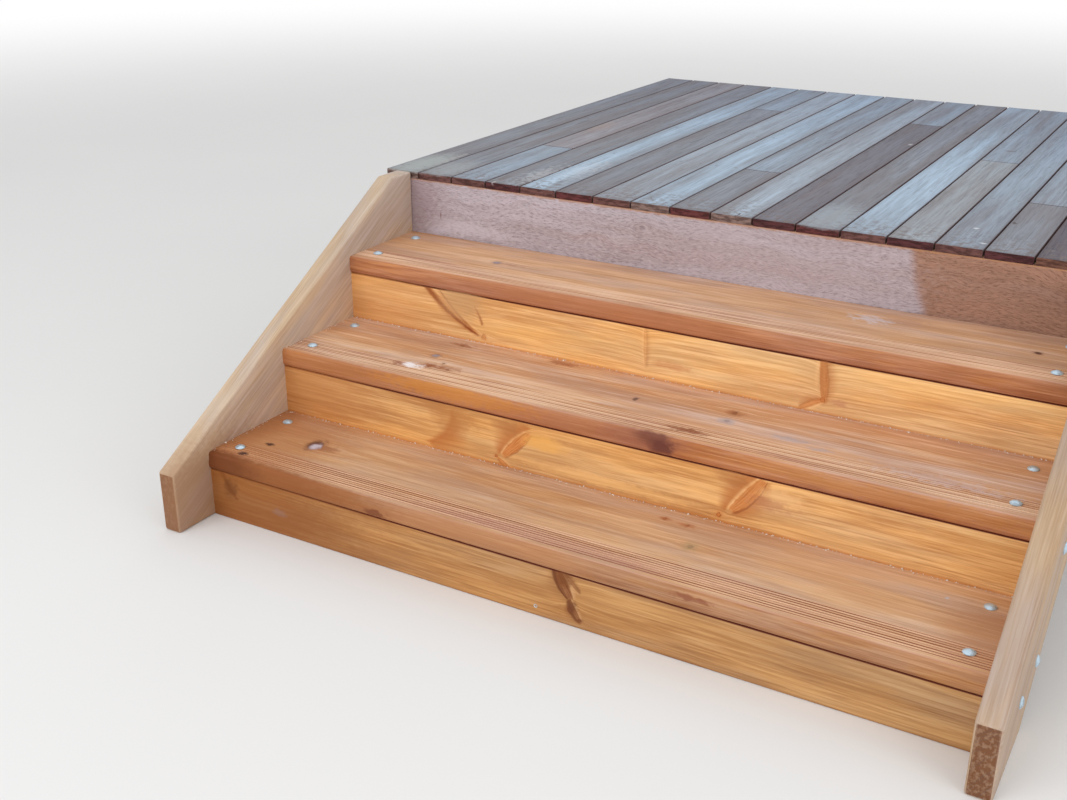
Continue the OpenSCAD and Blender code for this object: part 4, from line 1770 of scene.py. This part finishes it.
    def fascia(self) -> HardwoodFinish:
        """Gives the fascia its weathered face, less faded at the right."""
        face, inward = 862, (0.0, 25.0, 0.0)
        knots = (self.knot(703, face, 605, 6, inward, 0.7), self.knot(837, face, 593, 4, inward, 0.7))
        marks = (
            self.mark(95, face, 558, (4, 8, 14), (0.16, 0.075, 0.06), 0.7),
            self.mark(80, face, 514, (45, 8, 9), (0.54, 0.52, 0.62), 0.5, 0.6),
            self.mark(180, face, 530, (150, 12, 26), (0.64, 0.58, 0.64), 0.55, 0.5),
            self.mark(645, face, 566, (50, 8, 16), (0.62, 0.54, 0.58), 0.25, 0.6),
            self.mark(1060, face, 570, (380, 12, 110), (0.54, 0.455, 0.49), 0.3, 0.4),
            self.mark(0, face, 600, (130, 12, 120), (0.3, 0.2, 0.21), 0.55, 0.3),
            self.mark(900, face, 648.5, (1400, 12, 4.5), (0.42, 0.19, 0.085), 0.6, 0.15),
        )
        return HardwoodFinish(
            "fascia_hardwood", (0.49, 0.425, 0.465), (0.37, 0.205, 0.142), self.bench.at(1564, 0, 0)[0],
            soften=0.016, end=EndGrain.MAROON.value, lengthwise=True, seed=2.0, ring=0.006,
            patch=(0.34, 0.21, 0.175), patches=0.42, flecks=0.55, streaks=0.3, fine=(75.0, 430.0, 430.0),
            sway=0.09, side=(0.56, 0.29, 0.15), knots=knots, marks=marks)


@dataclass(frozen=True)
class BoardLook:
    """How one deck board has weathered."""

    front: Shade
    back: Shade
    end: EndGrain


@dataclass
class Deck:
    """The boards of the deck, each in one length or in two that meet over a joist."""

    shop: Workshop
    finishes: Finishes
    bench: Bench
    tree: PieceTree
    butt_gap: float = 0.003
    setback: float = 0.0003
    arris: float = 0.002
    pitch: float = 0.45
    frame_y: float = 0.887
    joist: float = 0.045
    joints: dict[int, int] = field(default_factory=lambda: {3: 1, 6: 3, 9: 1, 11: 3, 14: 2, 16: 1})

    def looks(self) -> list[BoardLook]:
        """Lists the boards' looks from the left: the shade in front, the shade behind and the sawn end."""
        s, e = Shade, EndGrain
        return [BoardLook(*look) for look in (
            (s.BROWN, s.BROWN, e.TAN), (s.BROWN, s.BROWN, e.BROWN), (s.GREY, s.PINK, e.BROWN),
            (s.BROWN, s.BROWN, e.MAROON), (s.SILVER, s.SILVER, e.BROWN), (s.BROWN, s.GREY, e.RED),
            (s.PALE, s.PALE, e.BROWN), (s.SILVER, s.SILVER, e.TAN), (s.BROWN, s.GREY, e.RED),
            (s.PALE, s.PALE, e.TAN), (s.DARK, s.GREY, e.MAROON), (s.BROWN, s.BROWN, e.RED),
            (s.SILVER, s.SILVER, e.BROWN), (s.TAN, s.GREY, e.MAROON), (s.GREY, s.GREY, e.BROWN),
            (s.BROWN, s.GREY, e.MAROON), (s.DEEP, s.DEEP, e.ORANGE), (s.GREY, s.GREY, e.BROWN),
        )]

    def marks(self, number: int) -> tuple[Mark, ...]:
        """Lists the marks of a board.

        Args:
            number: the board, from the left.

        Returns:
            Its marks.
        """
        white, top = (0.72, 0.73, 0.76), DECK
        found = (
            (1, -30, 960, top, (70, 190, 8), (0.44, 0.48, 0.48), 0.7, 0.2),
            (1, 4, 1058, top, (7, 105, 8), (0.42, 0.4, 0.4), 0.7, 0.5),
            (2, 75, 950, top, (70, 130, 8), (0.42, 0.45, 0.46), 0.45, 0.25),
            (3, 258, 868, 660, (6, 8, 12), white, 0.7, 0.3),
            (3, 150, 1700, top, (40, 120, 8), (0.36, 0.27, 0.25), 0.5, 0.6),
            (4, 330, 1010, top, (40, 120, 8), white, 0.3, 1.2),
            (4, 262, 870, top, (5, 26, 8), white, 0.7, 0.5),
            (5, 400, 1120, top, (36, 140, 8), white, 0.25, 1.3),
            (10, 951, 880, top, (2.5, 30, 12), (0.05, 0.03, 0.03), 0.9, 0.2),
            (11, 1086, 1925, top, (7, 12, 8), white, 0.5, 0.6),
            (12, 1155, 970, top, (80, 170, 8), (0.42, 0.48, 0.54), 0.5, 0.2),
            (14, 1370, 1977, top, (18, 10, 8), (0.12, 0.08, 0.07), 0.6, 0.5),
            (15, 1476, 1044, top, (7, 7, 8), white, 0.85, 0.4),
            (15, 1519, 920, top, (9, 5, 8), white, 0.8, 0.4),
            (16, 1544, 1141, top, (7, 16, 8), (0.07, 0.05, 0.05), 0.85, 0.4),
        )
        return tuple(self.finishes.mark(*mark) for board, *mark in found if board == number)

    def build(self) -> None:
        """Builds every board over its CAD node."""
        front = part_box("deck_board_1")[0].y
        for number, look in enumerate(self.looks(), 1):
            node = f"deck_board_{number}"
            low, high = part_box(node)
            middle_x, middle_z = (low.x + high.x) / 2, (low.z + high.z) / 2
            stops = [low.y + self.setback, high.y]
            divide = high.y + 1.0
            if number in self.joints:
                divide = self.bench.nose + self.frame_y + self.joints[number] * self.pitch + self.joist / 2
                stops[1:1] = [divide - self.butt_gap / 2, divide + self.butt_gap / 2]
            points = [(middle_x, y, middle_z) for y in stops]
            edges = [(k, k + 1) for k in range(0, len(stops), 2)]
            finish = HardwoodFinish(
                f"deck_board_{number}_hardwood", look.front.value, look.back.value, divide, soften=0.002,
                end=look.end.value, lengthwise=False, seed=1.7 * number, front=front,
                marks=self.marks(number))
            piece = link_mesh(f"weathered_board_{number}", points, edges, [])
            self.tree.grow(
                piece, self.shop.hardwood(finish), Width=high.x - low.x, Thickness=high.z - low.z,
                Arris=self.arris, Seed=float(number))
            Timber.shade(piece, 40.0)
            mount(piece, "deck_hardwood", node)


@dataclass
class Ironwork:
    """The bolts of the treads and stringers, and the screws of the deck, measured in millimetres."""

    bench: Bench
    zinc: Material
    leg: float = 5.0
    inset: float = 50.0
    rows: tuple[float, float] = (58.0, 230.0)
    side_rows: tuple[float, float] = (50.0, 195.0)
    side_drop: float = 20.0
    stringer: float = 48.0
    first_row: float = 935.0
    joist_row: float = 909.5
    joist_pitch: float = 450.0
    screw_inset: float = 22.0
    wander: float = 6.0
    riser_seat: Point = (896.0, 4.0, 23.0)

    def fit(self, name: str, tree: PieceTree, places: Sequence[tuple[Point, Point]], **values: Feed) -> None:
        """Puts bolts or screws on their seats.

        Args:
            name: the piece's name.
            tree: the tree of a bolt or a screw.
            places: each head's seat, and the way that it faces.
            values: the tree's inputs.
        """
        piece = link_mesh(name, [seat for seat, _ in places], [], [])
        axis = piece.data.attributes.new("axis", "FLOAT_VECTOR", "POINT")
        axis.data.foreach_set("vector", [number for _, way in places for number in way])
        tree.grow(piece, self.zinc, **values)
        mount(Timber.shade(piece), "galvanised_steel")

    def bolts(self, tree: PieceTree) -> None:
        """Builds the tread bolts and the stringer bolts with their washers and nuts."""
        across = (self.inset, STAIR_WIDTH - self.inset)
        seats = [
            (self.bench.at(x, (n - 1) * GOING + y, n * RISE), UP)
            for n in TREADS for x in across for y in self.rows
        ]
        self.fit("tread_bolts", tree, seats, Grip=(TREAD + self.leg) / 1000.0)
        outer = ((-self.stringer, -1.0), (STAIR_WIDTH + self.stringer, 1.0))
        seats = [
            (self.bench.at(x, (n - 1) * GOING + y, n * RISE - TREAD - self.side_drop), (way, 0.0, 0.0))
            for n in TREADS for x, way in outer for y in self.side_rows
        ]
        self.fit("stringer_bolts", tree, seats, Grip=(self.stringer + self.leg) / 1000.0)

    def screws(self, tree: PieceTree) -> None:
        """Builds the deck screws, two to a board over each joist."""
        rows = [self.first_row] + [self.joist_row + self.joist_pitch * k for k in (1, 2, 3, 4)]
        inset, seats = self.screw_inset / 1000.0, []
        for number in range(1, 19):
            low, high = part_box(f"deck_board_{number}")
            for k, y in enumerate(rows):
                for side in (inset, high.x - low.x - inset):
                    shift = noise.noise(Vector((number * 3.1, k * 2.3, side * 50.0))) * self.wander / 1000.0
                    x, y_place = low.x + side + shift * 0.5, self.bench.nose + y / 1000.0 + shift
                    seats.append(((x, y_place, high.z), UP))
        self.fit("deck_screws", tree, seats)

    def riser_screw(self, tree: PieceTree) -> None:
        """Builds the one screw that shows at the foot of the bottom riser."""
        seat = self.bench.at(*self.riser_seat)
        self.fit("riser_screw", tree, [(seat, (0.0, -1.0, 0.0))], Sink=-0.0006)


def scatter_grit(bench: Bench, tree: PieceTree, material: Material) -> None:
    """Lays sawdust along the joints behind the two lower treads.

    Args:
        bench: the working places.
        tree: the tree of the grains.
        material: their finish.
    """
    for number in (1, 2):
        front, back, top = GOING * (number - 1) + 20.0, GOING * number + 2.5, RISE * number + 0.2
        corners = ((1, front), (1, back), (620, back), (1790, back))  # along the stringer, then the riser
        points = [bench.at(x, y, top) for x, y in corners]
        piece = link_mesh(f"sawdust_{number}", points, [(0, 1), (1, 2), (2, 3)], [])
        tree.grow(piece, material, Seed=number)
        mount(piece, "tread_pine")


@dataclass
class Studio:
    """The pale floor, the soft light and the camera."""

    eye: Point = (1.1604, -3.2813, 1.4516)
    down: float = 22.84
    left: float = 30.29
    focal_px: float = 1275.85
    width_px: float = 1067.0
    sensor: float = 36.0
    ambient: float = 0.78
    lamps: tuple[tuple[str, Point, float, float], ...] = (
        ("front_lamp", (-1.5, -5.5, 3.3), 3.5, 100.0), ("side_lamp", (4.5, -3.0, 2.2), 3.0, 50.0))
    aim: Point = (0.1, -0.4, 0.3)
    floor_reach: float = 40.0
    fade: tuple[float, float] = (4.5, 12.0)

    def floor(self) -> None:
        """Lays a pale floor that fades into the white background."""
        r = self.floor_reach
        corners = [(-r, -r, 0), (r, -r, 0), (r, r, 0), (-r, r, 0)]
        piece = link_mesh("studio_floor", corners, [], [(0, 1, 2, 3)])
        material = bpy.data.materials.new("pale_floor")
        material.use_nodes = True
        graph = Graph(material.node_tree)
        graph.tree.nodes.clear()
        place = graph.add("ShaderNodeTexCoord").outputs["Object"]
        away = graph.vector("LENGTH", place)
        mottle = graph.noise(place, 1.2, 2.0).outputs[0]
        colour = graph.tint(mottle, (0.8, 0.8, 0.8), (0.83, 0.83, 0.825))
        matt = graph.add("ShaderNodeBsdfPrincipled", {"Base Color": colour, "Roughness": 0.9})
        white = graph.add("ShaderNodeEmission", {"Color": (1.0, 1.0, 1.0), "Strength": 1.0})
        seen = graph.add("ShaderNodeLightPath").outputs["Is Camera Ray"]
        fade = graph.times(graph.step(away, *self.fade), seen)
        shader = graph.add("ShaderNodeMixShader", {0: fade, 1: matt.outputs[0], 2: white.outputs[0]})
        graph.add("ShaderNodeOutputMaterial", {"Surface": shader.outputs[0]})
        piece.data.materials.append(material)

    def light(self) -> None:
        """Sets an even sky and two large soft lamps."""
        world = bpy.data.worlds.new("studio_sky")
        bpy.context.scene.world = world
        world.use_nodes = True
        graph = Graph(world.node_tree)
        graph.tree.nodes.clear()
        rays = graph.add("ShaderNodeLightPath").outputs
        seen = graph.plus(rays["Is Camera Ray"], rays["Is Glossy Ray"])
        seen = graph.math("ADD", seen, rays["Is Transmission Ray"], clamp=True)
        strength = graph.lerp(seen, self.ambient, 1.0)
        sky = graph.add("ShaderNodeBackground", {"Color": (1.0, 1.0, 1.0), "Strength": strength})
        graph.add("ShaderNodeOutputWorld", {"Surface": sky.outputs[0]})
        for name, place, size, energy in self.lamps:
            lamp = bpy.data.lights.new(name, "AREA")
            lamp.shape, lamp.size, lamp.energy = "SQUARE", size, energy
            holder = bpy.data.objects.new(name, lamp)
            bpy.context.scene.collection.objects.link(holder)
            holder.location = place
            aim = Vector(self.aim) - holder.location
            holder.rotation_euler = aim.to_track_quat("-Z", "Y").to_euler()

    def camera(self) -> None:
        """Sets the camera where the photograph was taken."""
        data = bpy.data.cameras.new("photo_camera")
        data.sensor_fit, data.sensor_width = "HORIZONTAL", self.sensor
        data.lens = self.sensor * self.focal_px / self.width_px
        holder = bpy.data.objects.new("photo_camera", data)
        holder.location = self.eye
        holder.rotation_euler = (math.radians(90.0 - self.down), 0.0, math.radians(self.left))
        bpy.context.scene.collection.objects.link(holder)
        bpy.context.scene.camera = holder


def main() -> None:
    """Builds the stairs in order: camera, timber, ironwork, grit and studio."""
    logging.basicConfig(level=logging.INFO, format="%(name)s: %(message)s")
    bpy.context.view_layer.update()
    bpy.context.scene.view_settings.view_transform = "Standard"
    studio = Studio()
    studio.camera()
    bench, shop = Bench(), Workshop()
    finishes = Finishes(bench)
    for side in ("left", "right"):
        Stringer(side, shop.pine(finishes.stringer(side)), bench).build()
    for number in TREADS:
        Tread(number, bench, shop.pine(finishes.tread(number)), wane=0.004 if number == 1 else 0.0).build()
        dress(f"riser_{number}", shop.pine(finishes.riser(number)))
    dress("fascia", shop.hardwood(finishes.fascia()))
    frame_timbers = {
        Run.ACROSS: ("front_joist", "joist_1", "joist_2", "joist_3", "rear_joist"),
        Run.INWARD: ("side_joist_left", "side_joist_right", "bearer_left", "bearer_right"),
        Run.UPRIGHT: ("pile_front_left", "pile_front_right", "pile_rear_left", "pile_rear_right"),
    }
    for run, nodes in frame_timbers.items():
        framing = shop.pine(finishes.framing(run))
        for node in nodes:
            dress(node, framing)
    zinc = shop.steel("galvanised_steel", (0.52, 0.66, 0.77), (0.24, 0.28, 0.31), 0.4)
    for side in ("left", "right"):
        for number in TREADS:
            dress(f"bracket_{side}_{number}", zinc)
    Deck(shop, finishes, bench, board_tree()).build()
    ironwork = Ironwork(bench, zinc)
    ironwork.bolts(bolt_tree())
    screws = screw_tree()
    ironwork.riser_screw(screws)
    ironwork.zinc = shop.steel("weathered_steel", (0.22, 0.23, 0.25), (0.1, 0.08, 0.07), 0.55)
    ironwork.screws(screws)
    scatter_grit(bench, sawdust_tree(), shop.grit())
    studio.floor()
    studio.light()


if __name__ == "__main__":
    main()
